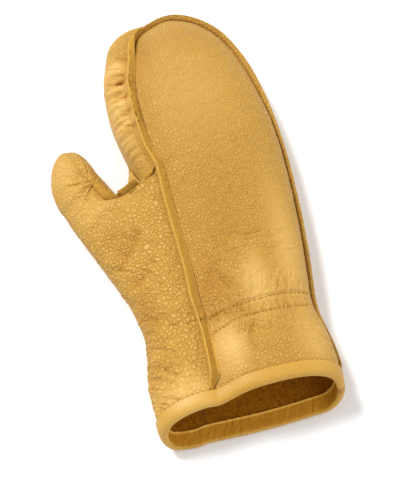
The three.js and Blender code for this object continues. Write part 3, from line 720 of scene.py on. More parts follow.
# Folds from one place to another, seen from above; the leather swells on both sides of them
FOLDS = table(["x0", "y0", "x1", "y1", "bow", "depth", "wide"], [
    [-14.5, 64.5, 2.0, 68.9, 0.4, 0.6, 1.0],
    [2.0, 68.9, 32.0, 72.0, 0.5, 0.6, 1.0],
    [32.0, 72.0, 53.0, 72.6, 0.2, 0.5, 1.0],
    [-12.5, 54.5, 4.2, 60.6, 0.4, 0.6, 1.0],
    [4.2, 60.6, 33.0, 62.4, 0.4, 0.6, 1.0],
    [33.0, 62.4, 51.0, 64.0, 0.2, 0.5, 1.0],
    [13.8, 55.0, 12.4, 38.0, -0.8, 0.9, 2.6],
    [-55.0, 46.4, -36.7, 34.1, 1.2, 0.9, 1.3],
    [-56.0, 39.2, -37.1, 25.3, 1.4, 0.8, 1.2],
    [-53.0, 56.0, -36.0, 49.0, 1.0, 0.6, 1.2],
    [-52.0, 24.0, -34.0, 16.0, 1.0, 0.5, 1.0],
    [-44.0, 134.0, -60.0, 112.0, 1.5, 1.3, 3.4],
    [-38.0, 112.0, -54.0, 96.0, 1.5, 0.9, 3.0],
    [-58.0, 152.0, -72.0, 141.0, -1.0, 0.8, 2.6],
    [-30.0, 62.0, -52.0, 78.0, -1.5, 0.8, 3.0],
    [2.7, 118.3, 48.6, 114.4, -2.5, 0.5, 1.6],
    [5.0, 98.9, 40.5, 101.8, 2.0, 0.4, 1.6],
    [-2.5, 242.0, 11.0, 241.8, 0.4, 0.35, 0.9],
    [-5.0, 95.0, 4.0, 80.0, 1.0, 0.8, 3.0],
    [-33.0, 243.0, -45.0, 251.0, 0.8, 2.2, 2.0],
    [-35.0, 239.0, -46.0, 244.0, 0.3, 1.0, 1.1],
    [-33.0, 229.5, -42.5, 235.0, -0.3, 1.1, 1.2],
    [-33.0, 226.0, -42.0, 230.0, -0.3, 0.7, 0.9],
    [-32.5, 218.0, -41.5, 223.0, 0.3, 1.1, 1.2],
    [-32.5, 214.5, -41.0, 219.0, 0.3, 0.7, 0.9],
    [-31.5, 206.0, -40.5, 211.0, 0.3, 0.9, 1.1],
    [-28.0, 262.0, -36.0, 268.0, 0.3, 0.8, 1.0],
    [-26.5, 266.0, -33.0, 272.0, 0.3, 0.6, 0.9],
])

# Folds that run out from one place, like the leather round the end of the dart
FANS = table(["x", "y", "start", "stop", "near", "far", "count", "depth"], [
    [-65.2, 178.0, 95, 275, 3.0, 30.0, 13, 1.1],
    [-50.0, 162.0, 215, 320, 5.0, 24.0, 9, 0.35],
])

# Patches of fine wrinkles: centre and reach, the way that they run in degrees, and their spacing
WRINKLES = table(["x", "y", "reachX", "reachY", "way", "spacing", "depth"], [
    [25.0, 108.0, 28.0, 13.0, 2, 2.8, 0.60],
    [10.0, 200.0, 34.0, 60.0, 12, 3.0, 0.25],
    [0.0, 88.0, 14.0, 16.0, -58, 2.4, 0.40],
    [18.0, 66.3, 34.0, 4.6, 92, 1.6, 0.85],
    [17.0, 53.0, 22.0, 7.0, 84, 1.9, 0.60],
    [25.0, 82.0, 28.0, 9.0, 80, 2.3, 0.60],
    [50.0, 45.0, 11.0, 22.0, -38, 2.0, 0.40],
    [-50.0, 110.0, 16.0, 34.0, -38, 3.4, 0.70],
    [-44.0, 60.0, 14.0, 30.0, -30, 3.0, 0.50],
    [-36.0, 232.0, 7.0, 34.0, 150, 1.8, 0.55],
    [-45.0, 30.0, 12.0, 24.0, -34, 2.4, 0.45],
])

# Broad swellings (and, below zero, hollows) of the stuffed leather
SWELLS = table(["x", "y", "reachX", "reachY", "height"], [
    [24.0, 92.0, 9.0, 12.0, 1.2],
    [-2.0, 86.0, 8.0, 16.0, -1.6],
    [-6.0, 45.0, 9.0, 12.0, 1.3],
    [46.0, 88.0, 7.0, 14.0, 0.9],
    [36.0, 42.0, 16.0, 7.0, 0.7],
    [18.0, 66.0, 34.0, 4.0, 0.7],
    [-58.0, 128.0, 9.0, 14.0, -1.2],
    [-45.0, 62.0, 8.0, 16.0, 0.9],
    [-78.0, 186.0, 9.0, 10.0, 0.8],
    [-41.0, 158.0, 9.0, 6.0, -1.8],
    [-37.0, 256.0, 8.0, 5.0, 1.2],
    [-38.0, 238.5, 7.0, 3.0, 0.6],
    [-37.0, 226.0, 7.0, 3.0, 0.5],
])

# Painted highlights: places where the leather is made paler
HIGHLIGHT_PATCHES = table(["x", "y", "reachX", "reachY", "amount"], [
    [-3.0, 44.0, 9.0, 15.0, 0.42],
    [22.0, 80.0, 9.0, 18.0, 0.36],
    [46.0, 100.0, 9.0, 46.0, 0.26],
    [50.0, 38.0, 10.0, 16.0, 0.20],
    [-42.0, 214.0, 7.0, 40.0, 0.22],
    [-82.0, 186.0, 12.0, 18.0, 0.15],
    [-34.0, 20.0, 16.0, 13.0, 0.30],
    [8.0, 232.0, 34.0, 40.0, 0.12],
    [-68.0, 158.0, 16.0, 14.0, 0.12],
    [-38.0, 257.0, 7.0, 4.5, 0.45],
    [-39.0, 240.0, 6.0, 2.6, 0.30],
    [-38.0, 226.5, 6.0, 3.0, 0.35],
    [-37.0, 213.0, 6.0, 2.6, 0.30],
])

# Painted shade: places made darker, in hollows and on the shaded sides of folds
SHADE_PATCHES = table(["x", "y", "reachX", "reachY", "amount"], [
    [-6.0, 86.0, 8.0, 18.0, 0.34],
    [-48.0, 82.0, 7.0, 22.0, 0.26],
    [-16.0, 262.0, 6.0, 12.0, 0.24],
    [-22.0, 225.0, 5.0, 30.0, 0.16],
    [12.0, 140.0, 20.0, 30.0, 0.12],
    [-56.0, 128.0, 10.0, 16.0, 0.16],
    [-36.0, 245.0, 4.5, 2.6, 0.85],
    [-34.5, 231.0, 3.5, 1.9, 0.55],
    [-34.0, 219.5, 3.5, 1.9, 0.55],
    [-33.0, 207.5, 3.5, 1.9, 0.45],
    [-29.5, 264.0, 3.0, 1.8, 0.40],
    [10.0, 128.0, 22.0, 34.0, 0.10],
    [16.0, 270.0, 26.0, 16.0, 0.10],
    [26.0, 66.0, 34.0, 3.4, 0.14],
])


def patches(points, rows):
    """Share of a painted highlight or of painted shade at each point, from soft patches in plan."""
    x, y = points[..., 0], points[..., 1]
    total = np.zeros_like(x)
    for px, py, reach_x, reach_y, amount in zip(*rows.values()):
        total += amount * np.exp(-((x - px) / reach_x) ** 2 - ((y - py) / reach_y) ** 2)
    return total * smooth(points[..., 2], 12.0, 22.0)


def blurred_line(points, x0, y0, x1, y1, bow):
    """Distance off a bowed line in plan, and the share of its length that each point lies at."""
    length = math.hypot(x1 - x0, y1 - y0)
    ex, ey = (x1 - x0) / length, (y1 - y0) / length
    dx, dy = points[..., 0] - x0, points[..., 1] - y0
    along = (dx * ex + dy * ey) / length
    off = dy * ex - dx * ey - bow * np.sin(math.pi * np.clip(along, 0, 1))
    return off, along


def fold_depth(points):
    """How far each point sinks in the folds, fans and wrinkles, and in the broad hollows; both
    are below zero where the leather swells."""
    x, y = points[..., 0], points[..., 1]
    total = np.zeros_like(x)
    for x0, y0, x1, y1, bow, depth, wide in zip(*FOLDS.values()):
        off, along = blurred_line(points, x0, y0, x1, y1, bow)
        fade = smooth(along, -0.06, 0.08) * (1 - smooth(along, 0.9, 1.06))
        line = np.exp(-(off / wide) ** 2)
        swell = np.exp(-((np.abs(off) - 2.2 * wide) / (1.2 * wide)) ** 2)
        total += depth * fade * (line - 0.3 * swell)
    for fx, fy, start, stop, near, far, count, depth in zip(*FANS.values()):
        radius = np.hypot(x - fx, y - fy)
        angle = np.degrees(np.arctan2(y - fy, x - fx)) % 360
        turn = (angle - start) / (stop - start)
        spot = np.stack([turn * count, radius / 14.0, np.zeros_like(x)], -1)
        ridge = 1 - np.abs(drift(spot, 1.0, 31)) * 2.4
        fade = smooth(radius, 1.0, near) * (1 - smooth(radius, near * 2, far))
        fade = fade * smooth(turn, 0, 0.08) * (1 - smooth(turn, 0.92, 1))
        total += depth * fade * np.maximum(ridge, -0.4)
    for wx, wy, reach_x, reach_y, way, spacing, depth in zip(*WRINKLES.values()):
        fade = np.exp(-((x - wx) / reach_x) ** 4 - ((y - wy) / reach_y) ** 4)
        ex, ey = math.cos(math.radians(way)), math.sin(math.radians(way))
        u, v = x * ex + y * ey, y * ex - x * ey
        spot = np.stack([u / (spacing * 3.6), v / spacing, np.full_like(x, wx)], -1)
        ridge = 1 - np.abs(drift(spot, 1.0, 37)) * 2.6
        total += depth * fade * np.maximum(ridge, -0.6)
    broad = np.zeros_like(x)
    for sx, sy, reach_x, reach_y, height in zip(*SWELLS.values()):
        broad -= height * np.exp(-((x - sx) / reach_x) ** 2 - ((y - sy) / reach_y) ** 2)
    on_top = smooth(points[..., 2], 10.0, 18.0)
    return total * on_top, broad * on_top


def quads(a, b, c, d):
    """Two triangles for each set of four corners, which run anticlockwise seen from outside."""
    return np.concatenate([np.stack([a, b, c], -1), np.stack([a, c, d], -1)]).reshape(-1, 3)


class Sheet:
    """Leather gathered from grids of points and flat floors that share their edges. Each point has
    its distance from the sewn line, below zero on the part that stands up beyond it, and FAR
    where no sewn line is near."""

    def __init__(self):
        self.points = []
        self.faces = []
        self.sewn = []
        self.count = 0

    def grid(self, points, sewn=FAR):
        """Rows of points. Seen from outside, each row runs to the right and the next lies above."""
        rows, columns = points.shape[:2]
        at = np.arange(rows * columns).reshape(rows, columns) + self.count
        self.points.append(settle(points).reshape(-1, 3))
        self.sewn.append((np.zeros((rows, columns)) + sewn).reshape(-1))
        self.faces.append(quads(at[:-1, :-1], at[:-1, 1:], at[1:, 1:], at[1:, :-1]))
        self.count += rows * columns

    def floor(self, loop):
        """Flat leather on the table, inside a loop of points; its outer face looks down."""
        loop = settle(loop)
        gap = np.linalg.norm(loop - np.roll(loop, -1, axis=0), axis=1)
        loop = loop[gap > 1e-3]
        low, high = loop.min(0), loop.max(0)
        xs = np.arange(low[0], high[0], FLOOR_SPACING)
        ys = np.arange(low[1], high[1], FLOOR_SPACING)
        inside = np.stack(np.meshgrid(xs, ys), -1).reshape(-1, 2)
        away = np.min(np.linalg.norm(inside[:, None] - loop[None, :, :2], axis=2), axis=1)
        inside = inside[(away > FLOOR_SPACING * 0.6) & within(inside, loop[:, :2])]
        flat_points = np.concatenate([loop[:, :2], inside])
        edges = [(i, (i + 1) % len(loop)) for i in range(len(loop))]
        found = delaunay_2d_cdt([Vector(p) for p in flat_points], edges, [], 1, 1e-6)
        made, faces, origins = found[0], found[2], found[3]
        points = np.array([[*p, 0.0] for p in made])
        for i, origin in enumerate(origins):
            if origin and origin[0] < len(loop):
                points[i] = loop[origin[0]]
        faces = np.array([list(face) for face in faces])
        a, b, c = [points[faces[:, i], :2] for i in range(3)]
        area = (b[:, 0] - a[:, 0]) * (c[:, 1] - a[:, 1]) - (b[:, 1] - a[:, 1]) * (c[:, 0] - a[:, 0])
        faces[area > 0] = faces[area > 0][:, ::-1]
        self.points.append(points)
        self.sewn.append(np.full(len(points), FAR))
        self.faces.append(faces + self.count)
        self.count += len(points)

    def join(self):
        """Points, faces and distances, with the points that grids and floors share made one."""
        points = np.concatenate(self.points)
        faces = np.concatenate(self.faces)
        keys = np.round(points * 200).astype(np.int64)
        _, first, known = np.unique(keys, axis=0, return_index=True, return_inverse=True)
        faces = known.reshape(-1)[faces]
        a, b, c = faces.T
        kept = faces[(a != b) & (b != c) & (c != a)]
        return points[first], kept, np.concatenate(self.sewn)[first]


def within(points, loop):
    """Which points lie inside a loop."""
    a = loop[None]
    b = np.roll(loop, -1, axis=0)[None]
    p = points[:, None]
    crosses = (a[..., 1] > p[..., 1]) != (b[..., 1] > p[..., 1])
    rise = np.where(b[..., 1] == a[..., 1], 1e-9, b[..., 1] - a[..., 1])
    at = a[..., 0] + (p[..., 1] - a[..., 1]) * (b[..., 0] - a[..., 0]) / rise
    return np.sum(crosses & (p[..., 0] < at), axis=1) % 2 == 1


def corner_normals(points, faces):
    """Mean of the face normals round each point, weighted by angle; shorter where they differ."""
    corners = points[faces]
    normal = unit(np.cross(corners[:, 1] - corners[:, 0], corners[:, 2] - corners[:, 0]))
    total = np.zeros_like(points)
    weights = np.zeros(len(points))
    for k in range(3):
        ahead = unit(corners[:, (k + 1) % 3] - corners[:, k])
        behind = unit(corners[:, (k + 2) % 3] - corners[:, k])
        angle = np.arccos(np.clip(np.sum(ahead * behind, axis=1), -1, 1))
        for axis in range(3):
            total[:, axis] += np.bincount(faces[:, k], normal[:, axis] * angle, len(points))
        weights += np.bincount(faces[:, k], angle, len(points))
    return total / np.maximum(weights, 1e-9)[:, None]


def rim(faces):
    """Directed edges that only one face uses."""
    edges = np.concatenate([faces[:, [0, 1]], faces[:, [1, 2]], faces[:, [2, 0]]])
    keys = np.sort(edges, axis=1)
    _, index, counts = np.unique(keys, axis=0, return_inverse=True, return_counts=True)
    return edges[counts[index.reshape(-1)] == 1]


def thickened(sheet, thickness, slack=0.0):
    """A sheet with its folds: points, faces, normals, the points of its other side, and the
    distances from the sewn line. Slack moves it further in where it is folded."""
    points, faces, sewn = sheet.join()
    normals = corner_normals(points, faces)
    sink, broad = fold_depth(points)
    inside = smooth(sewn, 1.0, 4.0)
    sink = sink + slack * smooth(np.abs(sink), 0.02, 0.2)
    points = points - unit(normals) * ((sink + broad) * inside)[:, None]
    normals = corner_normals(points, faces)
    mitre = thickness / np.maximum(np.sum(normals ** 2, axis=1), MITRE_LIMIT)
    return points, faces, normals, points - normals * mitre[:, None], sewn


def leather_shell(fine, coarse, thickness, relief, shade=0.0, groove_depth=0.0):
    """A leather panel: its grain side from the fine sheet, its cut edges, and its flesh side from
    the coarse sheet. Gives points, faces, material numbers and how much painted shade each point
    takes, in the sewn groove, the folds and the shaded patches."""
    outer, outer_faces, normals, inner, sewn = thickened(fine, thickness)
    groove = np.exp(-(sewn / GROOVE_WIDTH) ** 2)
    lift = relief(outer, sewn) - groove_depth * groove
    ends = rim(outer_faces)
    used = np.unique(ends)
    number = np.full(len(outer), -1)
    number[used] = np.arange(len(used)) + len(outer)
    q, p = ends.T
    walls = np.concatenate([
        np.stack([p, q, number[q]], -1),
        np.stack([p, number[q], number[p]], -1),
    ])
    raised = outer + unit(normals) * lift[:, None]
    _, back_faces, _, back, back_sewn = thickened(coarse, thickness, FOLD_SLACK)
    start = len(outer) + len(used)
    points = np.concatenate([raised, inner[used], back])
    faces = np.concatenate([outer_faces, walls, back_faces[:, ::-1] + start])
    # The flesh side on the fin takes the lighter cut edge material, the rest the darker flesh material
    # with painted shade
    on_fin = np.max(back_sewn[back_faces], axis=1) <= 0.01
    slots = np.concatenate([
        np.zeros(len(outer_faces), int),
        np.full(len(walls), 1),
        np.where(on_fin, 1, 2),
    ])
    # Painted shade: darker along the sewn groove, in the folds and in the shaded patches
    painted_shade_and_joint = np.zeros(len(points))
    folded = smooth(fold_depth(outer)[0], 0.35, 2.0) * FOLD_SHADE
    painted_shade_and_joint[:len(outer)] = np.clip(groove * shade + folded + patches(outer, SHADE_PATCHES), 0, 1)
    return points, faces, slots, painted_shade_and_joint


def even_rows(curve, start, stop, spacing):
    """Rows from start to stop at even steps of a curve's length."""
    dense = np.linspace(start, stop, 1200)
    steps = np.linalg.norm(np.diff(curve(dense), axis=0), axis=1)
    length = np.concatenate([[0], np.cumsum(steps)])
    count = max(2, int(round(length[-1] / spacing)))
    rows = np.interp(np.linspace(0, length[-1], count + 1), length, dense)
    rows[0], rows[-1] = start, stop
    return rows


def both_seams(row):
    return np.concatenate([seam_point(row), seam_point(LAST_ROW - row)], -1) / math.sqrt(2)


def hand_rows(spacing):
    cuff = even_rows(both_seams, 0, CUFF_ROW, spacing)
    return np.concatenate([cuff, even_rows(both_seams, CUFF_ROW, TIP_ROW, spacing)[1:]])


def fin_shares(spacing):
    """Shares of the fin's height from its free edge to the sewn line, without the last."""
    return np.linspace(1, 0, max(3, int(SEAM_WIDTH / spacing)) + 1)[None, :-1]


def back_sheet(spacing):
    """The back panel."""
    rows = hand_rows(spacing)[:, None]
    shares = np.linspace(0, 1, int(BACK_HALF_WIDTH / spacing) + 1)[None]
    fin = fin_shares(spacing)
    sheet = Sheet()
    points = np.concatenate([
        seam_edge(LAST_ROW - rows, 1, fin),
        back_point(*paired(LAST_ROW - rows, shares[:, ::-1])),
        back_point(*paired(rows, shares[:, 1:])),
        seam_edge(rows, 1, fin[:, ::-1]),
    ], axis=1)
    body = (1 - shares[0]) * BACK_HALF_WIDTH
    edge = -fin[0] * SEAM_WIDTH
    sheet.grid(points, np.concatenate([edge, body[::-1], body[1:], edge[::-1]]))
    return sheet


def palm_sheet(spacing):
    """The palm panel with the finger side."""
    hand = hand_rows(spacing)
    fingers = even_rows(palm_side, TIP_ROW, FINGERTIP_ROW, spacing * 0.8)[1:]
    across = np.linspace(0, 1, int(PALM_WIDTH / spacing) + 1)
    ends = palm_side(np.array([FINGERTIP_ROW, NOTCH["row"][2]]))
    late_count = int(np.linalg.norm(ends[1] - ends[0]) / (spacing * 0.7))
    late = np.linspace(0, 1, late_count + 1)[1:]
    early = np.concatenate([hand, fingers])[:, None] + np.zeros_like(across)
    slid = FINGERTIP_ROW + (notch_row(across)[None] - FINGERTIP_ROW) * late[:, None]
    rows = np.concatenate([early, slid])
    fin = fin_shares(spacing)
    edge = seam_edge(rows[:, :1], -1, fin)
    body = palm_point(rows, across[None])
    from_notch = np.concatenate([
        np.full(len(early), FAR),
        np.arange(late_count)[::-1] * spacing,
    ])
    from_seam = np.concatenate([-fin[0] * SEAM_WIDTH, across * PALM_WIDTH])
    sewn = np.minimum(from_seam[None], from_notch[:, None])
    sheet = Sheet()
    sheet.grid(np.concatenate([edge, body], axis=1), sewn)
    cuff = hand[hand <= CUFF_ROW]
    strip = floor_strip(palm_point(cuff, 1.0), border_at(cuff, 1), int(PALM_FLOOR_WIDTH / spacing))
    sheet.grid(strip)
    border = border_at(hand[(hand > CUFF_ROW) & (hand < THUMB_JOIN)], 1)
    free = body[len(cuff):, -1]
    sheet.floor(np.concatenate([strip[-1], border, free[::-1]]))
    return sheet


def thumb_sheet(spacing):
    """The thumb panel with the thumb side of the hand."""
    hand = hand_rows(spacing)
    hand = np.concatenate([hand[hand < THUMB_JOIN], [THUMB_JOIN]])
    middle = even_rows(thumb_side, THUMB_JOIN, DART_START, spacing)[1:]
    thumb = even_rows(thumb_side, DART_START, THUMB_TIP, spacing * 0.8)[1:]
    rows = np.concatenate([hand, middle, thumb])[:, None]
    round_shares = np.linspace(0, 1, int(THUMB_ROUND_WIDTH / spacing) + 1)
    top_shares = np.linspace(0, 1, int(THUMB_TOP_WIDTH / spacing) + 1)
    lower = quarter_round(thumb_side(rows), thumb_foot(rows), round_shares[None, :0:-1])
    upper = thumb_top(rows, top_shares[None, ::-1])
    fin = fin_shares(spacing)[:, ::-1]
    edge = seam_edge(thumb_seam_row(rows), -1, fin)
    edge = np.where((rows <= THUMB_JOIN)[..., None], edge, upper[:, -1:])
    from_sewn = (1 - top_shares[::-1]) * THUMB_TOP_WIDTH
    sewn_line = np.concatenate([np.full(len(round_shares) - 1, FAR), from_sewn])
    sewn = np.broadcast_to(sewn_line, (len(rows), len(sewn_line)))
    sewn = np.concatenate([sewn, np.where(rows <= THUMB_JOIN, -fin * SEAM_WIDTH, 0.0)], axis=1)
    sheet = Sheet()
    sheet.grid(np.concatenate([lower, upper, edge], axis=1), sewn)
    inner_rows = np.concatenate([[DART_START], thumb])[::-1, None]
    half = len(round_shares) - 1
    inner_across = np.concatenate([np.linspace(0, 0.5, half + 1)[:-1], 0.5 + round_shares / 2])
    web = np.linspace(0, 2, 2 * int(THUMB_ROUND_WIDTH / spacing) + 1)[1:, None]
    inner = np.concatenate([
        thumb_inner(inner_rows, inner_across[None]),
        web_point(web, inner_across[None]),
    ])
    sheet.grid(inner[::-1], inner_across[None] * THUMB_INNER_WIDTH)
    cuff = hand[hand <= CUFF_ROW]
    strip = floor_strip(border_at(cuff, -1), thumb_foot(cuff), int(THUMB_FLOOR_WIDTH / spacing))
    sheet.grid(strip)
    border = border_at(hand[(hand > CUFF_ROW) & (hand < THUMB_JOIN)], -1)
    feet = lower[len(cuff):, 0]
    sheet.floor(np.concatenate([strip[-1], feet, inner[:, -1], border[::-1]]))
    return sheet


def cuff_ring(from_edge, density):
    """The closed outline of the cuff at a distance from its cut edge."""
    row = from_edge / place(CREST, 1.0)[1]
    border = border_at(np.array(row), 0)
    back = np.linspace(0, 1, BACK_SPANS * density + 1)
    quarter = np.linspace(0, 1, ROUND_SPANS * density + 1)
    top = np.linspace(0, 1, TOP_SPANS * density + 1)
    row = float(row)
    palm = palm_point(np.full_like(quarter, row), 0.5 + quarter / 2)
    foot = thumb_foot(np.array(row))
    thumb = quarter_round(thumb_side(np.array(row)), foot, 1 - quarter)
    parts = [
        back_point(np.full_like(back, row), back),
        palm,
        floor_strip(palm[-1], border, PALM_SPANS * density)[1:],
        floor_strip(border, foot, THUMB_SPANS * density)[1:-1],
        thumb,
        thumb_top(row, 1 - top[1:]),
        back_point(np.full_like(back, LAST_ROW - row), 1 - back)[1:-1],
    ]
    return settle(np.concatenate(parts))


def softened(ring, reach):
    """A closed ring with its sharp bends eased over a length."""
    ahead = np.linalg.norm(np.roll(ring, -1, axis=0) - ring, axis=1)
    behind = np.roll(ahead, 1)
    at = np.concatenate([[0], np.cumsum(ahead)[:-1]])
    whole = np.sum(ahead)
    apart = np.abs(at[:, None] - at[None])
    apart = np.minimum(apart, whole - apart)
    weights = np.exp(-(apart / reach) ** 2) * (ahead + behind)[None]
    return weights @ ring / np.sum(weights, axis=1, keepdims=True)


# The binding's section: how far it lies from the cut edge of the cuff and above the leather
BINDING_SECTION = table(["fromEdge", "height"], [
    [8.5, 0.45],
    [8.6, 1.2],
    [8.2, 1.75],
    [7.0, 2.0],
    [5.2, 2.25],
    [3.4, 2.4],
    [1.8, 2.35],
    [0.4, 2.0],
    [-0.8, 1.3],
    [-1.5, 0.3],
    [-1.65, -0.7],
    [-1.4, -1.8],
    [-0.7, -2.6],
    [0.4, -2.9],
    [2.0, -2.95],
    [4.0, -2.9],
    [6.0, -2.95],
    [8.0, -3.1],
    [9.0, -3.9],
    [9.0, -1.7],
    [4.5, -1.7],
    [-0.4, -1.7],
    [-0.4, 0.4],
    [4.5, 0.4],
    [8.5, 0.4],
])


def mouth_ring(from_edge, density):
    """The eased outline of the cuff at a distance from its edge, the way from there along the
    leather to the hand, and the way out of the leather."""
    ring = softened(cuff_ring(from_edge, density), BINDING_EASE)
    inner = softened(cuff_ring(from_edge + RING_SPACING, density), BINDING_EASE)
    along = unit(inner - ring)
    out = unit(np.cross(np.roll(ring, -1, axis=0) - np.roll(ring, 1, axis=0), along))
    return ring, along, out


def on_free_face(edge, up):
    """Whether a place of the binding's section lies on its free face."""
    return up > 1.0 or up < -2.0 or edge < -0.5


def section_column(name):
    """A column of the binding's section, smooth along the roll."""
    roll = column(BINDING_SECTION, name, np.linspace(0, ROLL_STOP, ROLL_POINTS))
    return np.concatenate([roll, BINDING_SECTION[name][ROLL_STOP + 1:]])


def binding_mesh():
    """The rolled binding round the mouth, with the gathers of its inner fold."""
    from_edge = section_column("fromEdge")
    height = section_column("height")
    loops = []
    joint = np.zeros(len(cuff_ring(0.0, BINDING_DENSITY)))
    corner = BACK_SPANS * BINDING_DENSITY
    joint[corner - 1:corner + 2] = (JOINT_FADE, 1.0, JOINT_FADE)
    for edge, up in zip(from_edge, height):
        ring, along, out = mouth_ring(max(edge, 0), BINDING_DENSITY)
        gather = smooth(-up, -0.5, 1.5) * smooth(-up, 1.5, 2.7) + 0.12
        length = np.cumsum(np.linalg.norm(np.roll(ring, -1, axis=0) - ring, axis=1))
        spot = np.stack([length, np.full_like(length, edge * 0.5), np.zeros_like(length)], -1)
        short = drift(spot / np.array([1.7, 4.0, 1.0]), 1.0, 5) * 0.26
        bump = (short + drift(spot / 6.0, 1.0, 6) * 0.2) * gather - JOINT_DEPTH * joint
        bump = bump * on_free_face(edge, up)
        loops.append(ring + out * (up + np.sign(up) * bump)[:, None] + along * min(edge, 0))
    points = np.concatenate(loops)
    around = len(loops[0])
    i = np.arange(len(loops))[:, None]
    j = np.arange(around)[None]
    p = (i + 1) % len(loops)
    q = (j + 1) % around
    faces = quads(i * around + j, i * around + q, p * around + q, p * around + j)[:, ::-1]
    # The inner flap takes the deeper copy of the binding leather, with painted shade
    part = np.where(i >= FLAP_LOOP, 2, 0)
    part = np.where((i >= RAW_EDGE_LOOP) & (i <= RAW_EDGE_LOOP + RAW_EDGE_LOOPS), 1, part)
    slots = np.tile(np.repeat(part, around), 2)
    # Painted shade along the binding's upper edge where it meets the leather; the joint at the corner
    # is a dark joint line
    shade = 0.75 * smooth(from_edge, 8.0, 8.5) * (height > 0.5)
    shade[RAW_EDGE_LOOP + 1:] = 0.0
    shade = np.clip(shade[:, None] + joint[None] * 0.7, 0, 1)
    return points, faces, slots, shade.reshape(-1)


def welt_mesh():
    """The strip that stands in the dart and bends over the crotch of the thumb."""
    heights = np.concatenate([[-WELT_DEPTH], np.linspace(0, WELT_HEIGHT, 13)])
    rows = np.linspace(DART_START + 0.04, DART_END + 0.16, 120)
    point = dart_frame(rows)[0]
    along = dart(rows + 0.04) - dart(rows - 0.04)
    over = thumb_inner(rows, 0.1) - thumb_top(rows, 0.06)
    upward = unit(np.cross(along, over))
    upward = upward * np.sign(upward[:, 2:])
    over = unit(over - upward * dot(over, upward))
    share = np.maximum(heights, 0) / WELT_HEIGHT
    to_tip = smooth(rows, DART_START + 1, DART_START + 2.6)
    bend = WELT_BEND_NOTCH + (WELT_BEND_TIP - WELT_BEND_NOTCH) * to_tip
    angle = np.radians(bend[:, None] * share[None] ** 1.2)
    steps = np.diff(heights, prepend=heights[0])
    tall = WELT_TALL - (WELT_TALL - 1) * smooth(rows, WELT_TALL_STOP, WELT_PLAIN_START)[:, None]
    rise = np.cumsum(np.cos(angle) * steps[None], axis=1) * tall - WELT_DEPTH
    lean = np.cumsum(np.sin(angle) * steps[None], axis=1) * tall
    sink = 1.2 * smooth(rows, DART_END - 0.3, DART_END + 0.16)
    up = upward[:, None] * (rise - sink[:, None])[..., None]
    aside = over[:, None] * (lean - WELT_LEATHER / 2)[..., None]
    return strip_shell(point[:, None] + up + aside, WELT_LEATHER)


def strip_shell(points, thickness):
    """A narrow strip of leather with its face on a grid of points."""
    sheet = Sheet()
    sheet.grid(points)
    return leather_shell(sheet, sheet, thickness, welt_relief)


# Grain of each panel: how far its surface stands above or below the smooth sheet

def back_relief(points, sewn):
    soft = drift(points, 12.0, 1) * 0.12 + drift(points, 5.0, 2) * 0.08
    warped = points + drift(points, 3.0, 5)[..., None] * 0.7
    return soft - 0.1 + (pebbles(warped, 2.7, 3) - 1) * 0.18


def pebbled_relief(points, sewn):
    soft = drift(points, 9.0, 11) * 0.16 + drift(points, 4.5, 14) * 0.12
    warped = points + drift(points, 3.0, 13)[..., None] * 0.8
    x, y = points[..., 0], points[..., 1]
    on_thumb = 1 - 0.85 * np.exp(-((x + 78.0) / 24.0) ** 4 - ((y - 184.0) / 32.0) ** 4)
    height = 0.5 * on_thumb * smooth(sewn, -2.0, 1.0)
    return soft - 0.12 + (pebbles(warped, 3.1, 12) - 1) * height


def side_relief(points, sewn):
    """Softer grain of the finger side."""
    return pebbled_relief(points, sewn) * 0.28 - 0.05


def welt_relief(points, sewn):
    return drift(points, 1.6, 21) * 0.12 - 0.06


# Materials

def node(tree, kind, output, **values):
    """One output of a new node. A value is a setting of the node, a number for one of its inputs,
    or the output of another node that feeds the input."""
    made = tree.nodes.new("ShaderNode" + kind)
    for key, value in values.items():
        name = key.replace("_", " ")
        if hasattr(made, key):
            setattr(made, key, value)
        elif isinstance(value, bpy.types.NodeSocket):
            tree.links.new(value, made.inputs[name])
        else:
            made.inputs[name].default_value = value
    return made.outputs[output]


def new_material(name, specular):
    """A material, its node tree and its shader."""
    made = bpy.data.materials.new(name)
    made.use_nodes = True
    shader = made.node_tree.nodes["Principled BSDF"]
    shader.inputs["Specular IOR Level"].default_value = specular
    return made, made.node_tree, shader


def colour(red, green, blue):
    """Linear colour from the 0 to 255 values that a screen shows."""
    return tuple(((v / 255 + 0.055) / 1.055) ** 2.4 for v in (red, green, blue)) + (1.0,)


# Colours mixed in for the painted highlights (PALE), and for the painted shade and the binding's dark
# joint (DEEP)
PALE = colour(242, 202, 124)
DEEP = colour(156, 96, 4)
PORE_DEPTH = 0.05


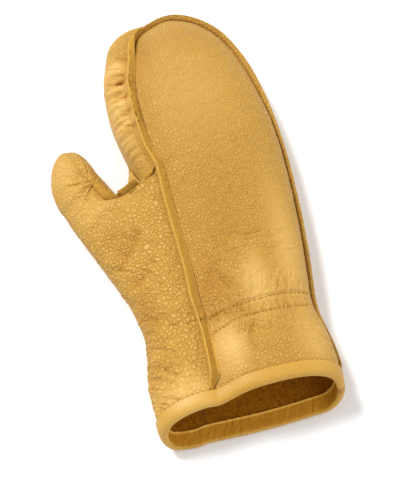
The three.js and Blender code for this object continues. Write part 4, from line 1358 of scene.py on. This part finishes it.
def leather(name, top, furrow, cell, bump, rough):
    """Grained leather: pebbles of a size in millimetres with furrows between them, soft mottling,
    painted shade in the furrows, a painted highlight where it is made paler, and painted shade
    down in the creases, along the seams and in the shaded patches."""
    made, tree, shader = new_material(name, 0.28)
    top = colour(*top)
    dull = tuple(v * 0.86 for v in top[:3]) + (1.0,)
    here = node(tree, "TexCoord", "Object")
    warp = node(tree, "TexNoise", "Color", Vector=here, Scale=1000 / (cell * 2.6), Detail=1.0,
                Roughness=0.5)
    bent = node(tree, "MixRGB", "Color", blend_type="LINEAR_LIGHT", Fac=cell * 0.0007,
                Color1=here, Color2=warp)
    cells = node(tree, "TexVoronoi", "Distance", feature="DISTANCE_TO_EDGE", Vector=bent,
                 Scale=1000 / cell)
    pebble = node(tree, "MapRange", "Result", interpolation_type="SMOOTHSTEP", Value=cells,
                  From_Min=0.0, From_Max=0.26)
    swell = node(tree, "MapRange", "Result", interpolation_type="SMOOTHSTEP", Value=cells,
                 From_Min=-0.12, From_Max=0.34)
    crumple = node(tree, "TexNoise", "Fac", Vector=here, Scale=1000 / (cell * 1.5), Detail=2.0,
                   Roughness=0.5, Distortion=0.6)
    pores = node(tree, "TexNoise", "Fac", Vector=here, Scale=2200.0, Detail=3.0, Roughness=0.6)
    mottle = node(tree, "TexNoise", "Fac", Vector=here, Scale=45.0, Detail=5.0, Roughness=0.65)
    spread = node(tree, "MapRange", "Result", Value=mottle, From_Min=0.3, From_Max=0.7)
    tone = node(tree, "MixRGB", "Color", Fac=spread, Color1=dull, Color2=top)
    # The furrows between pebbles take the darker furrow colour: painted shade
    grain = node(tree, "MixRGB", "Color", Fac=pebble, Color1=colour(*furrow), Color2=tone)
    # Painted highlight: paler where the highlight patches lie, with the grain's bump eased there
    painted_highlight = node(tree, "Attribute", "Fac", attribute_name="painted_highlight")
    pale = node(tree, "MixRGB", "Color", Fac=painted_highlight, Color1=grain, Color2=PALE)
    # Painted shade, and the binding's dark joint, from the mesh
    painted_shade_and_joint = node(tree, "Attribute", "Fac", attribute_name="painted_shade_and_joint")
    shaded = node(tree, "MixRGB", "Color", Fac=painted_shade_and_joint, Color1=pale, Color2=DEEP)
    shine = node(tree, "MapRange", "Result", Value=pebble, To_Min=rough + 0.15, To_Max=rough)
    flattened_under_highlight = node(tree, "MapRange", "Result", Value=painted_highlight, From_Max=0.2, To_Min=1.0, To_Max=0.35)
    low = node(tree, "Bump", "Normal", Height=swell, Strength=flattened_under_highlight, Distance=bump * METRES)
    middle = node(tree, "Bump", "Normal", Height=crumple, Normal=low, Strength=1.0,
                  Distance=bump * 0.22 * METRES)
    high = node(tree, "Bump", "Normal", Height=pores, Normal=middle, Strength=1.0,
                Distance=PORE_DEPTH * METRES)
    for key, value in (("Base Color", shaded), ("Roughness", shine), ("Normal", high)):
        tree.links.new(value, shader.inputs[key])
    return made


def suede(name, light, dark, scale):
    """Matt fibrous leather, as on a flesh side or a cut edge."""
    made, tree, shader = new_material(name, 0.2)
    shader.inputs["Roughness"].default_value = 0.92
    here = node(tree, "TexCoord", "Object")
    fibre = node(tree, "TexNoise", "Fac", Vector=here, Scale=scale, Detail=6.0, Roughness=0.7,
                 Distortion=1.2)
    spread = node(tree, "MapRange", "Result", Value=fibre, From_Min=0.35, From_Max=0.65)
    tone = node(tree, "MixRGB", "Color", Fac=spread, Color1=colour(*dark), Color2=colour(*light))
    bump = node(tree, "Bump", "Normal", Height=fibre, Strength=1.0, Distance=0.25 * METRES)
    tree.links.new(tone, shader.inputs["Base Color"])
    tree.links.new(bump, shader.inputs["Normal"])
    return made


BACK_GRAIN = leather("back_grain", (190, 145, 61), (178, 132, 48), 2.3, 0.50, 0.46)
PALM_GRAIN = leather("palm_grain", (203, 158, 72), (184, 137, 50), 1.9, 0.40, 0.44)
THUMB_GRAIN = leather("thumb_grain", (203, 158, 72), (184, 137, 51), 2.6, 0.66, 0.44)
BINDING_GRAIN = leather("binding_grain", (196, 151, 64), (184, 138, 50), 1.6, 0.10, 0.40)
# The inner flap is the binding's own leather, coloured deeper and more saturated where it lies inside
# the mouth: painted shade
SHADED_FLAP_GRAIN = leather("flap_grain_painted_shade", (204, 144, 28), (184, 124, 18), 1.4, 0.14, 0.60)
CUT_EDGE = suede("cut_edge", (208, 162, 76), (182, 136, 54), 900.0)
# The flesh side inside the mitten is coloured darker than the same flesh side on the fin: painted
# shade
SHADED_FLESH = suede("flesh_side_painted_shade", (196, 126, 12), (130, 76, 4), 420.0)
STRIP_SUEDE = suede("strip_flesh", (196, 150, 62), (170, 124, 40), 700.0)
WELT_SUEDE = suede("welt_flesh", (202, 156, 70), (176, 130, 46), 800.0)
THREAD = suede("thread", (184, 136, 50), (150, 104, 28), 2400.0)
RAW_EDGE = suede("raw_edge", (226, 176, 80), (200, 150, 58), 900.0)


def piece(name, made, materials, replaced=None):
    """A piece of the object, from points in millimetres, riding on the body."""
    points, faces, slots, painted_shade_and_joint = made
    mesh = bpy.data.meshes.new(name)
    mesh.from_pydata(((points + SHIFT) * METRES).tolist(), [], faces.tolist())
    for material in materials:
        mesh.materials.append(material)
    mesh.polygons.foreach_set("material_index", slots.astype(np.int32))
    mesh.polygons.foreach_set("use_smooth", np.ones(len(faces), bool))
    # Mesh attributes for the painted shade, with the binding's dark joint, and for the painted
    # highlight
    for key, values in (("painted_shade_and_joint", painted_shade_and_joint), ("painted_highlight", patches(points, HIGHLIGHT_PATCHES))):
        shade = mesh.attributes.new(key, "FLOAT", "POINT")
        shade.data.foreach_set("value", values.astype(np.float32))
    mesh.set_sharp_from_angle(angle=math.radians(62))
    mesh.validate()
    obj = bpy.data.objects.new(name, mesh)
    bpy.context.scene.collection.objects.link(obj)
    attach(obj, "root")
    if replaced:
        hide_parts(replaced)
    return obj


BACK_FINE = back_sheet(FINE)
BACK_POINTS, _, BACK_NORMALS, _, _ = thickened(BACK_FINE, LEATHER)


def panel(name, sheet, relief, grain, shade, groove_depth):
    made = leather_shell(sheet(FINE), sheet(COARSE), LEATHER, relief, shade, groove_depth)
    return piece(name + "_leather", made, [grain, CUT_EDGE, SHADED_FLESH], name)


# Stitches and trim

def stitches(starts, ends, normals, radius):
    """Short threads from start to end that stand a little out of the leather in their middle."""
    turns = np.linspace(0, 2 * math.pi, STITCH_SIDES + 1)[:-1]
    shares = np.linspace(0, 1, 5)
    along = unit(ends - starts)
    side = unit(np.cross(along, normals))
    rise = unit(np.cross(side, along))
    arch = np.sin(math.pi * shares) * radius * 1.3
    thick = np.where((shares == 0) | (shares == 1), 0.45, 1.0) * radius
    centre = starts[:, None] + (ends - starts)[:, None] * shares[None, :, None]
    centre = centre + rise[:, None] * (arch - radius * 0.7)[None, :, None]
    ring = (side[:, None, None] * np.cos(turns)[None, None, :, None]
            + rise[:, None, None] * np.sin(turns)[None, None, :, None])
    points = centre[:, :, None] + ring * thick[None, :, None, None]
    count = len(starts)
    each = len(shares) * STITCH_SIDES
    i = np.arange(len(shares) - 1)[:, None]
    j = np.arange(STITCH_SIDES)[None]
    k = (j + 1) % STITCH_SIDES
    a, b = i * STITCH_SIDES + j, i * STITCH_SIDES + k
    faces = quads(a, b, b + STITCH_SIDES, a + STITCH_SIDES)
    low = np.arange(1, STITCH_SIDES - 1)
    cap = np.stack([np.zeros_like(low), low + 1, low], -1)
    last = cap[:, ::-1] + each - STITCH_SIDES
    faces = np.concatenate([faces, cap, last])
    faces = (faces[None] + np.arange(count)[:, None, None] * each).reshape(-1, 3)
    points = points.reshape(-1, 3)
    return points, faces, np.zeros(len(faces), int), np.zeros(len(points))


def along_curve(curve, start, stop, pitch, length):
    """Starts and ends of stitches at an even pitch along a curve of rows."""
    marks = even_rows(curve, start, stop, pitch)
    share = length / pitch
    return marks[:-1], marks[:-1] + np.diff(marks) * share


def fin_line(row):
    return settle(seam_edge(row, 1, np.full_like(row, FIN_STITCH_UP)))


def fin_stitches(start, stop, pitch, length, radius):
    """A row of stitches on the outer face of the fin."""
    a, b = along_curve(fin_line, start, stop, pitch, length)
    across = seam_frame((a + b) / 2)[2]
    return stitches(fin_line(a), fin_line(b), across, radius)


def strip_mesh():
    """The trim strip that is sewn in between the two leathers of the ridge."""
    rows = even_rows(seam_point, STRIP_START, STRIP_STOP, 0.8)
    width = np.array([-1, -0.85, -0.6, -0.3, 0.0, 0.3, 0.6, 0.85, 1])
    point, fin, across = seam_frame(rows)
    height = fin_height(rows)
    half = GAP / 2 + height * column(SEAM, "splay", rows) * STRIP_HEIGHT ** 2 + LEATHER * 0.3
    crown = 0.25 * (1 - width ** 2)
    top = (point[:, None] + across[:, None] * (half[:, None] * width)[..., None]
           + fin[:, None] * (height[:, None] * STRIP_HEIGHT + crown[None])[..., None])
    wobble = drift(top, 2.0, 41) * 0.12 + drift(top, 0.9, 42) * 0.08
    return strip_shell(top + fin[:, None] * wobble[..., None], STRIP_LEATHER)


def on_back(x, y):
    """The points of the back panel that are nearest to places in plan, with their normals."""
    off_x = BACK_POINTS[None, :, 0] - x[:, None]
    off_y = BACK_POINTS[None, :, 1] - y[:, None]
    at = np.argmin(off_x ** 2 + off_y ** 2, axis=1)
    return BACK_POINTS[at], BACK_NORMALS[at]


ELASTIC_LINES = [
    table(["x", "y"], [
        [-14.5, 64.5],
        [-6.0, 67.8],
        [2.0, 69.0],
        [20.0, 70.9],
        [32.0, 72.2],
        [53.0, 72.5],
    ]),
    table(["x", "y"], [
        [-12.0, 55.0],
        [-7.0, 57.0],
        [4.2, 60.4],
        [18.0, 62.0],
        [33.0, 62.4],
        [51.0, 64.0],
    ]),
]


def elastic_stitches():
    """The two rows of stitches that hold the elastic inside the cuff."""
    starts, ends, normals = [], [], []
    for line in ELASTIC_LINES:
        def curve(row, line=line):
            return np.stack([column(line, "x", row), column(line, "y", row)], -1)

        a, b = along_curve(curve, 0, len(line["x"]) - 1, ELASTIC_PITCH, ELASTIC_STITCH)
        first, normal = on_back(*curve(a).T)
        second, _ = on_back(*curve(b).T)
        starts.append(first)
        ends.append(second)
        normals.append(normal)
    starts, ends, normals = [np.concatenate(part) for part in (starts, ends, normals)]
    return stitches(starts, ends, normals, ELASTIC_THREAD)


def binding_stitches():
    """The row of stitches along the upper edge of the binding."""
    ring, _, out = mouth_ring(BINDING_WIDTH - BINDING_STITCH_IN, STITCH_DENSITY)
    out = out * np.sign(dot(out, ring - ring.mean(0)))
    closed = np.concatenate([ring, ring[:1]])
    turned = np.concatenate([out, out[:1]])
    steps = np.linalg.norm(np.diff(closed, axis=0), axis=1)
    length = np.concatenate([[0], np.cumsum(steps)])
    marks = np.linspace(0, length[-1], int(length[-1] / BINDING_PITCH) + 1)[:-1]

    def pick(values, at):
        return np.stack([np.interp(at, length, values[:, k]) for k in range(3)], -1)

    raised = closed + turned * BINDING_STITCH_LIFT
    starts, ends = pick(raised, marks), pick(raised, marks + BINDING_STITCH)
    kept = starts[:, 2] > BINDING_STITCH_LOW
    return stitches(starts[kept], ends[kept], pick(turned, marks)[kept], BINDING_THREAD)


def notch_tape():
    """The turned-in seam allowance behind the plain seam of the notch."""
    across = np.linspace(0.01, 0.62, 80)[:, None]
    aside = np.linspace(-TAPE_REACH, TAPE_REACH, 7)[None]
    rows = notch_row(across) + NOTCH_GAP / 2 + aside
    points = palm_point(rows, across)
    slope_a = palm_point(rows + 0.02, across) - points
    slope_b = palm_point(rows, across + 0.01) - points
    inward = unit(np.cross(slope_b, slope_a))
    middle = palm_point(26.0, 1.0) + UP * 12.0
    inward = inward * np.sign(dot(inward, middle - points))
    return strip_shell(points + inward * TAPE_DEPTH, TAPE_LEATHER)


# The fifth number is how dark the painted shade along the sewn groove is, the sixth how deep the
# groove is
panel("back_panel", back_sheet, back_relief, BACK_GRAIN, 0.8, 0.6)
panel("palm_panel", palm_sheet, side_relief, PALM_GRAIN, 0.35, 0.2)
panel("thumb_panel", thumb_sheet, pebbled_relief, THUMB_GRAIN, 0.6, 0.35)
piece("thumb_welt_leather", welt_mesh(), [WELT_SUEDE] * 3, "thumb_welt")
piece("cuff_binding_leather", binding_mesh(), [BINDING_GRAIN, RAW_EDGE, SHADED_FLAP_GRAIN],
      "cuff_binding")
piece("notch_tape", notch_tape(), [STRIP_SUEDE] * 3)
piece("ridge_strip", strip_mesh(), [STRIP_SUEDE] * 3)
piece("seam_stitches", fin_stitches(1.0, 17.6, 3.2, 2.3, 0.24), [THREAD])
piece("elastic_stitches", elastic_stitches(), [THREAD])
piece("binding_stitches", binding_stitches(), [THREAD])


# Floor, light and camera

def add_floor():
    mesh = bpy.data.meshes.new("floor")
    size = 6.0
    corners = [(-size, -size, 0), (size, -size, 0), (size, size, 0), (-size, size, 0)]
    mesh.from_pydata(corners, [], [(0, 1, 2, 3)])
    made = bpy.data.materials.new("floor_white")
    made.use_nodes = True
    shader = made.node_tree.nodes["Principled BSDF"]
    shader.inputs["Base Color"].default_value = (0.93, 0.93, 0.93, 1.0)
    shader.inputs["Roughness"].default_value = 0.9
    shader.inputs["Specular IOR Level"].default_value = 0.0
    mesh.materials.append(made)
    obj = bpy.data.objects.new("floor", mesh)
    bpy.context.scene.collection.objects.link(obj)


def add_sun(name, strength, width, elevation, bearing):
    """Far light from a bearing that turns from +X to +Y; its width and angles are in degrees."""
    light = bpy.data.lights.new(name, "SUN")
    light.energy = strength
    light.angle = math.radians(width)
    up, round_z = math.radians(elevation), math.radians(bearing)
    source = Vector((
        math.cos(up) * math.cos(round_z),
        math.cos(up) * math.sin(round_z),
        math.sin(up),
    ))
    obj = bpy.data.objects.new(name, light)
    obj.rotation_euler = (-source).to_track_quat("-Z", "Y").to_euler()
    bpy.context.scene.collection.objects.link(obj)


def add_camera():
    elevation = math.radians(CAMERA_ELEVATION)
    turn = math.radians(CAMERA_TURN)
    forward = Vector((
        math.sin(turn) * math.cos(elevation),
        math.cos(turn) * math.cos(elevation),
        -math.sin(elevation),
    ))
    right = Vector((math.cos(turn), -math.sin(turn), 0))
    up = right.cross(forward)
    aim = Vector((CAMERA_AIM + SHIFT) * METRES)
    data = bpy.data.cameras.new("camera")
    data.lens = LENS
    data.sensor_width = SENSOR
    data.clip_start = 0.05
    data.clip_end = 50.0
    obj = bpy.data.objects.new("camera", data)
    turn_matrix = Matrix((right, up, -forward)).transposed().to_4x4()
    obj.matrix_world = Matrix.Translation(aim - forward * CAMERA_DISTANCE * METRES) @ turn_matrix
    bpy.context.scene.collection.objects.link(obj)
    bpy.context.scene.camera = obj


add_floor()
add_sun("key", 3.0, 18.0, 52.0, 132.0)
add_sun("fill", 1.25, 70.0, 40.0, -35.0)
add_camera()

world = bpy.data.worlds.new("studio")
world.use_nodes = True
world.node_tree.nodes["Background"].inputs["Color"].default_value = (1, 1, 1, 1)
world.node_tree.nodes["Background"].inputs["Strength"].default_value = 0.52
bpy.context.scene.world = world
bpy.context.scene.view_settings.view_transform = "Standard"
